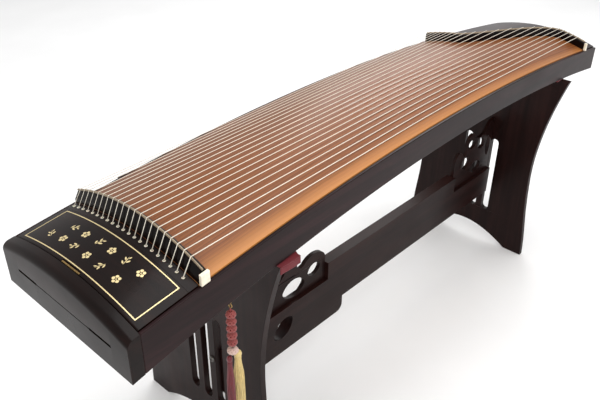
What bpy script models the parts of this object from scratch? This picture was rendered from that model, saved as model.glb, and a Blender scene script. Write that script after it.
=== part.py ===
"""Guzheng on its stand: a 21-string Chinese zither, built piece by piece.

X runs along the strings from the head (-X) to the tail (+X), -Y is the bass side, Z is up.
The origin is on the floor, under the middle of the body's length and on the stand's centre line.
"""

import math

import bmesh
import bpy
from mathutils import Matrix, Vector

GAP = 0.0003  # clearance between pieces that touch
CUTTER_REACH = 0.02  # how far a cutter goes past the piece it cuts

# Instrument body
LENGTH = 1.63
HEAD_WIDTH = 0.362
TAIL_WIDTH = 0.324
INSTRUMENT_Y = -0.0635  # centre line of the instrument, which lies forward on its stand
TOP_PEAK_Z = 0.6911  # highest point of the top's side edge
TOP_PEAK_X = 0.059
TOP_ARCH = 0.0844  # fall of the top's side edge per square metre away from its peak
BOTTOM_PEAK_Z = 0.634
BOTTOM_PEAK_X = 0.1
BOTTOM_ARCH = 0.104
CROWN = 0.026  # rise of the top from its sides to its middle
SIDE_THICKNESS = 0.007
BOARD_THICKNESS = 0.008
BACK_THICKNESS = 0.005
END_THICKNESS = 0.0245
TAIL_END_THICKNESS = 0.015
HEAD_ROUNDING = 0.012

# Head: string box, lid and front nut
LID_BACK_X = -0.6935
LID_THICKNESS = 0.006
NUT_X = -0.663
SOUNDBOARD_LIP = 0.0002  # how far the soundboard starts ahead of the front nut
NUT_THICKNESS = 0.018
NUT_END_HEIGHT = 0.021
NUT_MIDDLE_HEIGHT = 0.031
FRONT_NUT_PROFILE = (0.4, 0.72, 1.0, 1.0, 0.8)  # height shares across the nut, head side first
SADDLE_THICKNESS = 0.003
SADDLE_HEIGHT = 0.003
HOLE_ROW_X = -0.682
HOLE_RADIUS = 0.0022
BLOCK_TOP_Z = 0.594
BLOCK_FRONT_X = -0.786
BLOCK_BACK_X = -0.700
BORDER_WIDTH = 0.0016
BORDER_HEIGHT = 0.0005
BORDER_INSET_X = 0.0045
BORDER_HALF_Y = 0.158

# Tail
REAR_NUT_X = 0.581  # middle of the curved rear nut
REAR_NUT_REACH = 0.158  # how far its two ends lie before and behind the middle
REAR_NUT_SHIFT = 0.06
REAR_NUT_FLANK = 0.5
REAR_NUT_THICKNESS = 0.009
REAR_NUT_HEIGHT = 0.021
REAR_NUT_PROFILE = (0.85, 1.0, 1.0, 0.75, 0.4)  # height shares across the nut, soundboard side first
TAIL_HOLE_OFFSET = 0.012

# Strings and tuning pins
STRING_COUNT = 21
STRING_SPACING = 0.01535
STRING_CENTRE = 0.0065
STRING_RADIUS = 0.0005
PIN_RADIUS = 0.003
PIN_HOLE_RADIUS = 0.0036
PIN_ROW_X = (-0.726, -0.748, -0.770)
PIN_FOOT_Z = 0.5755
PIN_SHOULDER_Z = 0.608
PIN_TOP_Z = 0.618
PIN_SQUARE = 0.0024  # half the width of the square head
STRING_ON_PIN_Z = 0.6015
BEND_RISE = 0.001  # how far past a board's face a string bends
ANCHOR_DROP = 0.004  # depth of the anchor wire under the tail board
ANCHOR_RADIUS = 0.0013
ANCHOR_MARGIN = 0.02  # share of the width that the anchor wire goes past the outer strings

# Braces and sound holes
BRACE_X = (-0.42, -0.08, 0.28)
BRACE_THICKNESS = 0.012
BRACE_ARCH = 0.022
SOUND_HOLES = (("head", -0.56, 0.12, 0.07), ("middle", 0.1, 0.11, 0.06), ("tail", 0.55, 0.12, 0.05))

# Lid hinge
HINGE_RADIUS = 0.002
HINGE_PIN_RADIUS = 0.0008
HINGE_BORE_RADIUS = 0.0012
HINGE_DEPTH = 0.003
HINGE_HALF_LENGTH = 0.025
HINGE_MIDDLE_HALF = 0.009
HINGE_LEAF = 0.012
HINGE_LEAF_THICKNESS = 0.001
HINGE_SIDE_ROOM = 0.001
HINGE_ARM_INSET = 0.0002
LID_LIP = 0.03  # share of the lid's length that its rounded front edge takes
LID_LIP_CELLS = 0.2  # share of the lid's cells that lie in that edge

# Stand
LEG_THICKNESS = 0.015
NEAR_LEG_X = -0.505
FAR_LEG_X = 0.623
NEAR_LEG_TOP_Z = 0.5915
FAR_LEG_TOP_Z = 0.5975
LEG_TOP_HALF = 0.2447
LEG_WAIST_HALF = 0.187
LEG_WAIST_Z = 0.29
LEG_FLARE_POWER = 1.8
# Rounding of a leg's treble-side top corner: distance in from the flare's tip, distance below the top
LEG_CORNER = ((0.0045, 0.022), (0.009, 0.012), (0.018, 0.004), (0.03, 0.0))
FOOT_OUTER = 0.208
FOOT_TAPER = ((0.0, 0.0), (0.004, 0.06), (0.014, 0.15))  # how far the edge is set in, at each height
FOOT_INNER = 0.148
FOOT_ARCH_Z = 0.05
FOOT_ARCH_POWER = 0.9
SLOT_OFFSETS = (-0.0605, -0.0165, 0.0275)
SLOT_WIDTH = 0.024
SLOT_BOTTOM_Z = 0.112
SLOT_TOP_Z = 0.361
STRETCHER_Y = -0.043
STRETCHER_THICKNESS = 0.030
STRETCHER_TOP_Z = 0.31
STRETCHER_BOTTOM_Z = 0.177
STRETCHER_DEEP_Z = 0.134
STRETCHER_STEP_X = -0.09
STRETCHER_CORNER = 0.02
STRETCHER_END_Z = 0.262  # top of the lowered ends, where the brackets stand
STRETCHER_HOLE = (-0.305, 0.206, 0.07, 0.05, 35)  # x, z, length, width, tilt in degrees
BRACKET_THICKNESS = 0.010
HEAD_BRACKET = (0.34, 0.138)  # length and height
TAIL_BRACKET = (0.207, 0.168)
# Bracket holes: place as shares of length and height, then length, width and tilt in degrees
HEAD_BRACKET_HOLES = ((0.675, 0.235, 0.074, 0.05, 0), (0.88, 0.36, 0.044, 0.034, 10),
                      (0.52, 0.66, 0.06, 0.034, 30), (0.37, 0.33, 0.06, 0.045, -15),
                      (0.15, 0.50, 0.075, 0.045, 80))
TAIL_BRACKET_HOLES = ((0.33, 0.64, 0.05, 0.036, 30), (0.70, 0.40, 0.05, 0.040, 10),
                      (0.40, 0.20, 0.06, 0.036, 0), (0.11, 0.50, 0.07, 0.026, 85),
                      (0.57, 0.72, 0.04, 0.03, 20))
BOLT_RADIUS = 0.004
BOLT_HEAD_RADIUS = 0.0075
BOLT_HEAD_HEIGHT = 0.004
BOLT_LENGTH = 0.055
BOLT_HOLE_RADIUS = 0.0046
BOLT_END_ROOM = 0.001
BOLT_Y = -0.039
BOLT_Z = 0.24
HEAD_PAD_WIDTH = 0.05
TAIL_PAD_WIDTH = 0.036
PAD_TONGUE_DROP = 0.014
PAD_TREBLE_END = 0.2  # the head leg's felt stops short of the leg's rounded corner
PAD_TONGUE_THICKNESS = 0.003

# Hanging ornament
ORNAMENT_X = -0.615
EYE_RADIUS = 0.004
EYE_WIRE = 0.001
EYE_DROP = 0.0035  # from the side board's underside to the top of the ring's wire
SHANK_LENGTH = 0.016
SHANK_OVERLAP = 0.0004
SHANK_HOLE_DEPTH = 0.0175
CORD_RADIUS = 0.0013
BEAD_RADIUS = 0.0082
BEAD_COUNT = 5
BEAD_BORE = 0.0018
BEAD_PITCH = 0.93  # spacing of the knotted buttons as a share of their diameter
BEAD_STRETCH = 1.1
KNOT_RADIUS = 0.009
KNOT_HEIGHT = 0.0144
CORD_CLEARANCE = 0.0002
CORD_TOP_LENGTH = 0.006  # plain cord above the buttons
CORD_END_LENGTH = 0.004
TASSELS = (("tassel_red", -0.0085, 0.0075, 0.15), ("tassel_gold", 0.0105, 0.0105, 0.135))


# Where the surfaces of the body are

def half_width(x):
    return 0.5 * (HEAD_WIDTH + (TAIL_WIDTH - HEAD_WIDTH) * (x / LENGTH + 0.5))


def edge_top(x):
    return TOP_PEAK_Z - TOP_ARCH * (x - TOP_PEAK_X) ** 2


def body_bottom(x):
    return BOTTOM_PEAK_Z - BOTTOM_ARCH * (x - BOTTOM_PEAK_X) ** 2


def surface(x, y):
    """Height of the top of the body at (x, y)."""
    across = (y - INSTRUMENT_Y) / half_width(x)
    return edge_top(x) + CROWN * (1 - across * across)


def across_to_y(x, across, inset):
    """Y at a share (-1 to 1) of the width that is left inside an inset on each side."""
    return INSTRUMENT_Y + across * (half_width(x) - inset)


def rear_nut_x(across):
    """The rear nut's S-shaped centre line, from the bass side (-1) to the treble side (1)."""
    turn = max(-1.0, min(1.0, (across + REAR_NUT_SHIFT) / REAR_NUT_FLANK))
    return REAR_NUT_X - REAR_NUT_REACH * math.sin(0.5 * math.pi * turn)


def rear_nut_half(across, thickness):
    """Half the nut's extent along X, so that its wall keeps its thickness on the slanted flank."""
    step = 0.01
    slope = (rear_nut_x(across + step) - rear_nut_x(across - step)) / (2 * step * half_width(REAR_NUT_X))
    return 0.5 * thickness * math.sqrt(1 + slope * slope)


def string_across(number):
    """A string's place across the body, -1 to 1; string 1 is on the treble side."""
    offset = STRING_CENTRE + STRING_SPACING * ((STRING_COUNT + 1) / 2 - number)
    return offset / half_width(NUT_X)


def rear_share(number):
    """A string's place along the rear nut, which ends at the inner faces of the side boards."""
    return string_across(number) * half_width(REAR_NUT_X) / (half_width(REAR_NUT_X) - SIDE_THICKNESS - GAP)


def string_y(number, x):
    return INSTRUMENT_Y + string_across(number) * half_width(x)


def share_at(profile, u):
    """Height share of a nut at u across its thickness, for a profile of evenly spaced shares."""
    return profile[round(u * (len(profile) - 1))]


def tail_hole_x(across):
    """The strings go down into the tail board a little behind the rear nut."""
    return rear_nut_x(across) + rear_nut_half(across, REAR_NUT_THICKNESS) + TAIL_HOLE_OFFSET


def nut_height(across):
    return NUT_END_HEIGHT + (NUT_MIDDLE_HEIGHT - NUT_END_HEIGHT) * (1 - across * across)


# Helpers

def clear_scene():
    for old in list(bpy.data.objects):
        bpy.data.objects.remove(old, do_unlink=True)
    for old in list(bpy.data.collections):
        bpy.data.collections.remove(old)


def new_collection(name):
    group = bpy.data.collections.new(name)
    bpy.context.scene.collection.children.link(group)
    return group


def material(name, colour, roughness, metallic=0.0):
    made = bpy.data.materials.new(name)
    made.use_nodes = True
    shader = made.node_tree.nodes["Principled BSDF"]
    shader.inputs["Base Color"].default_value = (*colour, 1.0)
    shader.inputs["Roughness"].default_value = roughness
    shader.inputs["Metallic"].default_value = metallic
    return made


def add_object(name, bm, group, finish):
    mesh = bpy.data.meshes.new(name)
    bmesh.ops.recalc_face_normals(bm, faces=bm.faces[:])
    bm.to_mesh(mesh)
    bm.free()
    obj = bpy.data.objects.new(name, mesh)
    group.objects.link(obj)
    if finish is not None:
        mesh.materials.append(finish)
    return obj


def smooth(obj, angle=35):
    obj.data.shade_smooth()
    obj.data.set_sharp_from_angle(angle=math.radians(angle))


def bent_block(name, counts, place, group, finish):
    """A block divided into counts cells, whose unit coordinates place(u, v, w) bends into shape."""
    bm = bmesh.new()
    bmesh.ops.create_cube(bm, size=1.0, matrix=Matrix.Translation((0.5, 0.5, 0.5)))
    for axis, count in enumerate(counts):
        for k in range(1, count):
            point = Vector((0, 0, 0))
            point[axis] = k / count
            normal = Vector((0, 0, 0))
            normal[axis] = 1
            everything = bm.verts[:] + bm.edges[:] + bm.faces[:]
            bmesh.ops.bisect_plane(bm, geom=everything, plane_co=point, plane_no=normal)
    for vert in bm.verts:
        vert.co = place(*vert.co)
    return add_object(name, bm, group, finish)


def box(name, low, high, group, finish=None):
    size = [b - a for a, b in zip(low, high)]
    return bent_block(name, (1, 1, 1), lambda u, v, w: (
        low[0] + u * size[0], low[1] + v * size[1], low[2] + w * size[2]), group, finish)


def rod_bmesh(bm, radius, start, end, sides):
    """Adds a closed round bar between two points."""
    start, end = Vector(start), Vector(end)
    turn = (end - start).to_track_quat("Z", "Y").to_matrix().to_4x4()
    matrix = Matrix.Translation((start + end) / 2) @ turn
    bmesh.ops.create_cone(bm, cap_ends=True, segments=sides, radius1=radius, radius2=radius,
                          depth=(end - start).length, matrix=matrix)


def rods(name, bars, sides, group, finish=None):
    """One object holding a closed bar for each (radius, start, end)."""
    bm = bmesh.new()
    for radius, start, end in bars:
        rod_bmesh(bm, radius, start, end, sides)
    return add_object(name, bm, group, finish)


def turned(name, profile, sides, group, finish, place):
    """Spins a closed-ended or ring profile of (radius, height) points about a vertical axis."""
    mesh = bpy.data.meshes.new(name)
    closed = profile[0][0] > 0
    count = len(profile)
    edges = [(k, k + 1) for k in range(count - 1)]
    if closed:
        edges.append((count - 1, 0))
    mesh.from_pydata([(radius, 0, height) for radius, height in profile], edges, [])
    obj = bpy.data.objects.new(name, mesh)
    obj.location = place
    group.objects.link(obj)
    screw = obj.modifiers.new("turn", "SCREW")
    screw.axis = "Z"
    screw.steps = sides
    screw.render_steps = sides
    screw.use_merge_vertices = True
    screw.merge_threshold = 0.0001
    mesh.materials.append(finish)
    bpy.context.view_layer.update()
    obj = to_mesh(obj)
    smooth(obj)
    return obj


def to_mesh(obj):
    """Replaces an object by a plain mesh of its evaluated shape."""
    graph = bpy.context.evaluated_depsgraph_get()
    mesh = bpy.data.meshes.new_from_object(obj.evaluated_get(graph))
    bm = bmesh.new()
    bm.from_mesh(mesh)
    bmesh.ops.remove_doubles(bm, verts=bm.verts[:], dist=0.00001)
    bmesh.ops.recalc_face_normals(bm, faces=bm.faces[:])
    bm.to_mesh(mesh)
    bm.free()
    name = obj.name
    matrix = obj.matrix_world.copy()
    groups = list(obj.users_collection)
    bpy.data.objects.remove(obj, do_unlink=True)
    made = bpy.data.objects.new(name, mesh)
    made.matrix_world = matrix
    for group in groups:
        group.objects.link(made)
    return made


def flat_curve(name, loops, thickness, group, finish):
    """A flat outline with holes, of (a, b) points in its own plane, filled and given a thickness."""
    curve = bpy.data.curves.new(name, "CURVE")
    curve.dimensions = "2D"
    curve.fill_mode = "BOTH"
    curve.extrude = thickness / 2
    for loop in loops:
        spline = curve.splines.new("POLY")
        spline.points.add(len(loop) - 1)
        for point, (a, b) in zip(spline.points, loop):
            point.co = (a, b, 0, 1)
        spline.use_cyclic_u = True
    curve.materials.append(finish)
    obj = bpy.data.objects.new(name, curve)
    group.objects.link(obj)
    return obj


def cut(obj, tools, operation="DIFFERENCE"):
    """Applies a Boolean with each tool in turn and leaves a plain mesh."""
    for tool in tools:
        tool.hide_render = True
        tool.display_type = "WIRE"
        boolean = obj.modifiers.new("cut", "BOOLEAN")
        boolean.operation = operation
        boolean.solver = "EXACT"
        boolean.object = tool
        obj = to_mesh(obj)
    return obj


def arc(centre, radius, start, end, steps):
    """Points on an arc, angles in degrees."""
    points = []
    for k in range(steps + 1):
        angle = math.radians(start + (end - start) * k / steps)
        points.append((centre[0] + radius * math.cos(angle), centre[1] + radius * math.sin(angle)))
    return points


def slot_loop(centre_y, half, low, high):
    """A long hole with round ends."""
    return (arc((centre_y, high - half), half, 0, 180, 5) + arc((centre_y, low + half), half, 180, 360, 5))


# Body of the instrument

def make_soundboard(group, wood):
    start = NUT_X - NUT_THICKNESS / 2 - SOUNDBOARD_LIP
    inset = SIDE_THICKNESS + GAP

    def place(u, v, w):
        across = 2 * v - 1
        end = rear_nut_x(across) - GAP
        x = start + u * (end - start)
        y = across_to_y(x, across, inset)
        return x, y, surface(x, y) - (1 - w) * BOARD_THICKNESS

    board = bent_block("soundboard", (18, 12, 1), place, group, wood)
    smooth(board)
    return board


def make_tail_board(group, tools, wood):
    inset = SIDE_THICKNESS + GAP

    def place(u, v, w):
        across = 2 * v - 1
        start = rear_nut_x(across) + GAP
        x = start + u * (LENGTH / 2 - start)
        y = across_to_y(x, across, inset)
        return x, y, surface(x, y) - (1 - w) * BOARD_THICKNESS

    board = bent_block("tail_board", (5, 12, 1), place, group, wood)
    holes = rods("tail_string_holes", [tail_hole(n) for n in range(1, STRING_COUNT + 1)], 6, tools)
    board = cut(board, [holes])
    smooth(board)
    return board


def tail_hole(number):
    x = tail_hole_x(rear_share(number))
    y = string_y(number, x)
    top = surface(x, y)
    return HOLE_RADIUS, (x, y, top - 2 * BOARD_THICKNESS), (x, y, top + BOARD_THICKNESS)


def make_side_board(name, side, group, wood):
    """side is -1 for the bass side at the front, 1 for the treble side at the back."""
    start = -LENGTH / 2 + END_THICKNESS + GAP

    def place(u, v, w):
        x = start + u * (LENGTH / 2 - start)
        depth = (1 - v) if side > 0 else v
        y = INSTRUMENT_Y + side * (half_width(x) - depth * SIDE_THICKNESS)
        return x, y, body_bottom(x) + w * (edge_top(x) - body_bottom(x))

    board = bent_block(name, (16, 1, 1), place, group, wood)
    return board


def make_head_end(group, wood):
    """The head block: its top edge is rounded towards the front."""
    front = -LENGTH / 2

    def place(u, v, w):
        across = 2 * v - 1
        x = front + u * END_THICKNESS
        y = across_to_y(x, across, 0)
        low = body_bottom(x)
        drop = HEAD_ROUNDING * (1 - math.sqrt(max(0.0, 1 - max(0.0, 1 - u * 2) ** 2)))
        return x, y, low + w * (surface(x, y) - drop - low)

    block = bent_block("head_end_block", (8, 12, 1), place, group, wood)
    smooth(block, 50)
    return block


def make_tail_end(group, wood):
    start = LENGTH / 2 - TAIL_END_THICKNESS
    inset = SIDE_THICKNESS + GAP

    def place(u, v, w):
        across = 2 * v - 1
        x = start + u * TAIL_END_THICKNESS
        y = across_to_y(x, across, inset)
        low = body_bottom(x)
        return x, y, low + w * (surface(x, y) - BOARD_THICKNESS - 2 * GAP - low)

    return bent_block("tail_end_board", (1, 12, 1), place, group, wood)


def make_back_board(group, tools, wood):
    start = -LENGTH / 2 + END_THICKNESS + GAP
    end = LENGTH / 2 - TAIL_END_THICKNESS - GAP
    inset = SIDE_THICKNESS + GAP

    def place(u, v, w):
        x = start + u * (end - start)
        return x, across_to_y(x, 2 * v - 1, inset), body_bottom(x) + w * BACK_THICKNESS

    board = bent_block("back_board", (20, 1, 1), place, group, wood)
    holes = []
    for name, x, length, width in SOUND_HOLES:
        loop = [(b, a) for a, b in slot_loop(0.0, width / 2, -length / 2, length / 2)][::-1]
        hole = to_mesh(flat_curve(name + "_sound_hole", [loop], 3 * CUTTER_REACH, tools, wood))
        hole.location = (x, INSTRUMENT_Y, body_bottom(x))
        bpy.context.view_layer.update()
        holes.append(hole)
    return cut(board, holes)


def make_brace(name, x_middle, group, wood):
    """An arched bar under the soundboard that stands on the back board at its two ends."""
    inset = SIDE_THICKNESS + GAP

    def place(u, v, w):
        across = 2 * v - 1
        x = x_middle + (u - 0.5) * BRACE_THICKNESS
        y = across_to_y(x, across, inset)
        low = body_bottom(x) + BACK_THICKNESS + GAP + BRACE_ARCH * (1 - across ** 4)
        return x, y, low + w * (surface(x, y) - BOARD_THICKNESS - 2 * GAP - low)

    return bent_block(name, (1, 12, 1), place, group, wood)


def make_nut_brace(group, wood):
    """The wall between the string box and the sound chamber, under the front nut."""
    inset = SIDE_THICKNESS + GAP
    start = NUT_X - NUT_THICKNESS / 2

    def place(u, v, w):
        across = 2 * v - 1
        x = start + u * NUT_THICKNESS * 0.6
        y = across_to_y(x, across, inset)
        low = body_bottom(x) + BACK_THICKNESS + GAP
        return x, y, low + w * (surface(x, y) - BOARD_THICKNESS - 2 * GAP - low)

    return bent_block("string_box_wall", (1, 12, 1), place, group, wood)


def make_string_hole_board(group, tools, wood):
    start = LID_BACK_X + GAP
    end = NUT_X - NUT_THICKNESS / 2 - SOUNDBOARD_LIP - GAP
    inset = SIDE_THICKNESS + GAP

    def place(u, v, w):
        x = start + u * (end - start)
        y = across_to_y(x, 2 * v - 1, inset)
        return x, y, surface(x, y) - (1 - w) * BOARD_THICKNESS

    board = bent_block("string_hole_board", (1, 12, 1), place, group, wood)
    bars = []
    for number in range(1, STRING_COUNT + 1):
        y = string_y(number, HOLE_ROW_X)
        top = surface(HOLE_ROW_X, y)
        bars.append((HOLE_RADIUS, (HOLE_ROW_X, y, top - 2 * BOARD_THICKNESS),
                     (HOLE_ROW_X, y, top + BOARD_THICKNESS)))
    board = cut(board, [rods("head_string_holes", bars, 6, tools)])
    smooth(board)
    return board


def make_pin_block(group, tools, wood):
    inset = SIDE_THICKNESS + GAP

    def place(u, v, w):
        x = BLOCK_FRONT_X + u * (BLOCK_BACK_X - BLOCK_FRONT_X)
        y = across_to_y(x, 2 * v - 1, inset)
        low = body_bottom(x) + BACK_THICKNESS + GAP
        return x, y, low + w * (BLOCK_TOP_Z - low)

    block = bent_block("pin_block", (2, 1, 1), place, group, wood)
    bars = []
    for number in range(1, STRING_COUNT + 1):
        x, y = pin_place(number)
        bars.append((PIN_HOLE_RADIUS, (x, y, PIN_FOOT_Z - GAP), (x, y, BLOCK_TOP_Z + CUTTER_REACH)))
    return cut(block, [rods("pin_holes", bars, 8, tools)])


def pin_place(number):
    """Where a string's tuning pin stands: three staggered rows."""
    x = PIN_ROW_X[(number - 1) % len(PIN_ROW_X)]
    return x, string_y(number, x) + PIN_RADIUS + STRING_RADIUS + GAP


def make_tuning_pin(number, group, steel):
    """A round pin with a square head for the wrench; its origin is on its axis."""
    x, y = pin_place(number)
    sides = 8
    bm = bmesh.new()
    bmesh.ops.create_cone(bm, cap_ends=True, segments=sides, radius1=PIN_RADIUS, radius2=PIN_RADIUS,
                          depth=PIN_SHOULDER_Z - PIN_FOOT_Z,
                          matrix=Matrix.Translation((0, 0, (PIN_FOOT_Z + PIN_SHOULDER_Z) / 2)))
    top = max(bm.faces, key=lambda face: face.calc_center_median().z)
    head = bmesh.ops.extrude_face_region(bm, geom=[top])
    head_verts = [item for item in head["geom"] if isinstance(item, bmesh.types.BMVert)]
    bmesh.ops.delete(bm, geom=[top], context="FACES_ONLY")
    for vert in head_verts:
        angle = round(math.degrees(math.atan2(vert.co.y, vert.co.x)) / 45) * 45
        reach = PIN_SQUARE if angle % 90 == 0 else PIN_SQUARE * math.sqrt(2)
        vert.co = (reach * math.cos(math.radians(angle)), reach * math.sin(math.radians(angle)),
                   PIN_TOP_Z)
    pin = add_object("tuning_pin_%02d" % number, bm, group, steel)
    pin.location = (x, y, 0)
    return pin


def make_front_nut(group, wood, bone):
    start = NUT_X - NUT_THICKNESS / 2

    def place(u, v, w):
        across = 2 * v - 1
        x = start + u * NUT_THICKNESS
        y = across_to_y(x, across, SIDE_THICKNESS + GAP)
        return x, y, surface(x, y) + GAP + w * nut_height(across) * share_at(FRONT_NUT_PROFILE, u)

    nut = bent_block("front_nut", (4, 12, 1), place, group, wood)

    def place_saddle(u, v, w):
        across = 2 * v - 1
        x = NUT_X + (u - 0.5) * SADDLE_THICKNESS
        y = across_to_y(NUT_X, across, SIDE_THICKNESS + GAP)
        return x, y, surface(NUT_X, y) + nut_height(across) + 3 * GAP + w * SADDLE_HEIGHT

    saddle = bent_block("front_nut_saddle", (1, 12, 1), place_saddle, group, bone)
    for obj in (nut, saddle):
        smooth(obj)


def make_rear_nut(group, wood, bone):
    inset = SIDE_THICKNESS + GAP

    def body_place(u, v, w):
        across = 2 * v - 1
        x = rear_nut_x(across) + (2 * u - 1) * rear_nut_half(across, REAR_NUT_THICKNESS)
        y = across_to_y(x, across, inset)
        return x, y, surface(x, y) + GAP + w * REAR_NUT_HEIGHT * share_at(REAR_NUT_PROFILE, u)

    nut = bent_block("rear_nut", (4, 24, 1), body_place, group, wood)

    def saddle_place(u, v, w):
        across = 2 * v - 1
        x = rear_nut_x(across) + (2 * u - 1) * rear_nut_half(across, SADDLE_THICKNESS)
        y = across_to_y(x, across, inset)
        return x, y, surface(x, y) + 3 * GAP + REAR_NUT_HEIGHT + w * SADDLE_HEIGHT

    saddle = bent_block("rear_nut_saddle", (1, 24, 1), saddle_place, group, bone)
    for obj in (nut, saddle):
        smooth(obj)


def make_nut_caps(group, bone):
    """Bone blocks that close the bass ends of the two nuts, on the edge of the side board."""
    for name, middle, thickness, height in (
            ("front_nut_cap", NUT_X, NUT_THICKNESS, NUT_END_HEIGHT),
            ("rear_nut_cap", rear_nut_x(-1), REAR_NUT_THICKNESS, REAR_NUT_HEIGHT)):

        def place(u, v, w):
            x = middle + (u - 0.5) * thickness
            y = INSTRUMENT_Y - half_width(x) + v * (SIDE_THICKNESS - GAP)
            return x, y, edge_top(x) + 2 * GAP + w * height

        bent_block(name, (1, 1, 1), place, group, bone)


# Lid of the string box

def hinge_axis():
    x = -LENGTH / 2 + END_THICKNESS + 3 * GAP + HINGE_DEPTH
    return Vector((x, INSTRUMENT_Y, surface(x, INSTRUMENT_Y) - HINGE_DEPTH))


def make_lid(group, tools, wood):
    axis = hinge_axis()
    start = axis.x - HINGE_DEPTH
    end = LID_BACK_X
    inset = SIDE_THICKNESS + GAP

    def place(u, v, w):
        x = start + u * (end - start)
        y = across_to_y(x, 2 * v - 1, inset)
        drop = HINGE_DEPTH * (1 - math.sqrt(max(0.0, 1 - max(0.0, 1 - u / LID_LIP) ** 2))) if w > 0.5 else 0
        return x, y, surface(x, y) - (1 - w) * LID_THICKNESS - drop

    def place_even(u, v, w):
        if u < LID_LIP_CELLS:
            return place(LID_LIP * u / LID_LIP_CELLS, v, w)
        return place(LID_LIP + (u - LID_LIP_CELLS) / (1 - LID_LIP_CELLS) * (1 - LID_LIP), v, w)

    lid = bent_block("string_box_lid", (5, 12, 1), place_even, group, wood)
    notch_half = HINGE_HALF_LENGTH + HINGE_SIDE_ROOM
    notch = box("hinge_notch", (start - CUTTER_REACH, axis.y - notch_half, axis.z - CUTTER_REACH),
                (axis.x + HINGE_RADIUS + 2 * GAP, axis.y + notch_half, axis.z + CUTTER_REACH), tools)
    lid = cut(lid, [notch])
    lid.data.transform(Matrix.Translation(-axis))
    lid.location = axis
    smooth(lid)
    return lid


def make_lid_border(group, tools, gold):
    """A thin inlay frame on the lid's top."""
    axis = hinge_axis()
    start = axis.x + BORDER_INSET_X
    end = LID_BACK_X - BORDER_INSET_X

    def frame_block(name, inset, low, high, into):
        def place(u, v, w):
            x = start + inset + u * (end - start - 2 * inset)
            y = INSTRUMENT_Y + (2 * v - 1) * (BORDER_HALF_Y - inset)
            return x, y, surface(x, y) + low + w * (high - low)
        return bent_block(name, (1, 12, 1), place, into, gold)

    border = frame_block("lid_border_inlay", 0.0, GAP, GAP + BORDER_HEIGHT, group)
    inner = frame_block("border_window", BORDER_WIDTH, -CUTTER_REACH, CUTTER_REACH, tools)
    border = cut(border, [inner])
    border.data.transform(Matrix.Translation(-axis))
    border.location = axis
    return border


def make_lid_hinge(group, tools, brass):
    """A small butt hinge; its pin is riveted into the fixed leaf's knuckle."""
    axis = hinge_axis()
    middle = HINGE_MIDDLE_HALF
    long = HINGE_HALF_LENGTH

    def knuckle(name, low, high, into):
        return rods(name, [(HINGE_RADIUS, (axis.x, axis.y + low, axis.z), (axis.x, axis.y + high, axis.z))],
                    12, into, brass)

    bore = rods("hinge_bore", [(HINGE_BORE_RADIUS, (axis.x, axis.y - long - CUTTER_REACH, axis.z),
                                (axis.x, axis.y + long + CUTTER_REACH, axis.z))], 12, tools)
    fixed = knuckle("lid_hinge_fixed_leaf", -middle, middle, group)
    plate_x = axis.x - HINGE_RADIUS
    plate = box("fixed_plate", (plate_x, axis.y - middle, axis.z - HINGE_LEAF),
                (plate_x + HINGE_LEAF_THICKNESS, axis.y + middle, axis.z), tools)
    pin = rods("hinge_pin", [(HINGE_PIN_RADIUS, (axis.x, axis.y - long, axis.z),
                              (axis.x, axis.y + long, axis.z))], 8, tools, brass)
    cut(fixed, [plate, pin], "UNION")
    moving = knuckle("lid_hinge_moving_leaf", -long, -middle - GAP, group)
    other = knuckle("other_knuckle", middle + GAP, long, tools)
    under = axis.z + HINGE_DEPTH - LID_THICKNESS - 4 * GAP
    reach = axis.x + HINGE_LEAF
    leaf = bent_block("moving_plate", (1, 4, 1), lambda u, v, w: (
        axis.x - HINGE_LEAF_THICKNESS + u * (reach - axis.x + HINGE_LEAF_THICKNESS),
        axis.y + (2 * v - 1) * long,
        under - (1 - w) * HINGE_LEAF_THICKNESS), tools, brass)
    arms = []
    for side in (-1, 1):
        low = min(side * (middle + 2 * GAP), side * long)
        high = max(side * (middle + 2 * GAP), side * long)
        arms.append(box("leaf_arm", (axis.x + HINGE_ARM_INSET, axis.y + low, under - HINGE_LEAF_THICKNESS),
                        (axis.x + HINGE_RADIUS, axis.y + high, axis.z), tools))
    room = box("middle_room", (axis.x - CUTTER_REACH, axis.y - middle - GAP, under - CUTTER_REACH),
               (axis.x + HINGE_RADIUS + 2 * GAP, axis.y + middle + GAP, axis.z + HINGE_DEPTH), tools)
    leaf = cut(leaf, [room])
    moving = cut(moving, [leaf, other, *arms], "UNION")
    moving = cut(moving, [bore])
    moving.data.transform(Matrix.Translation(-axis))
    moving.location = axis


# Strings

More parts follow.
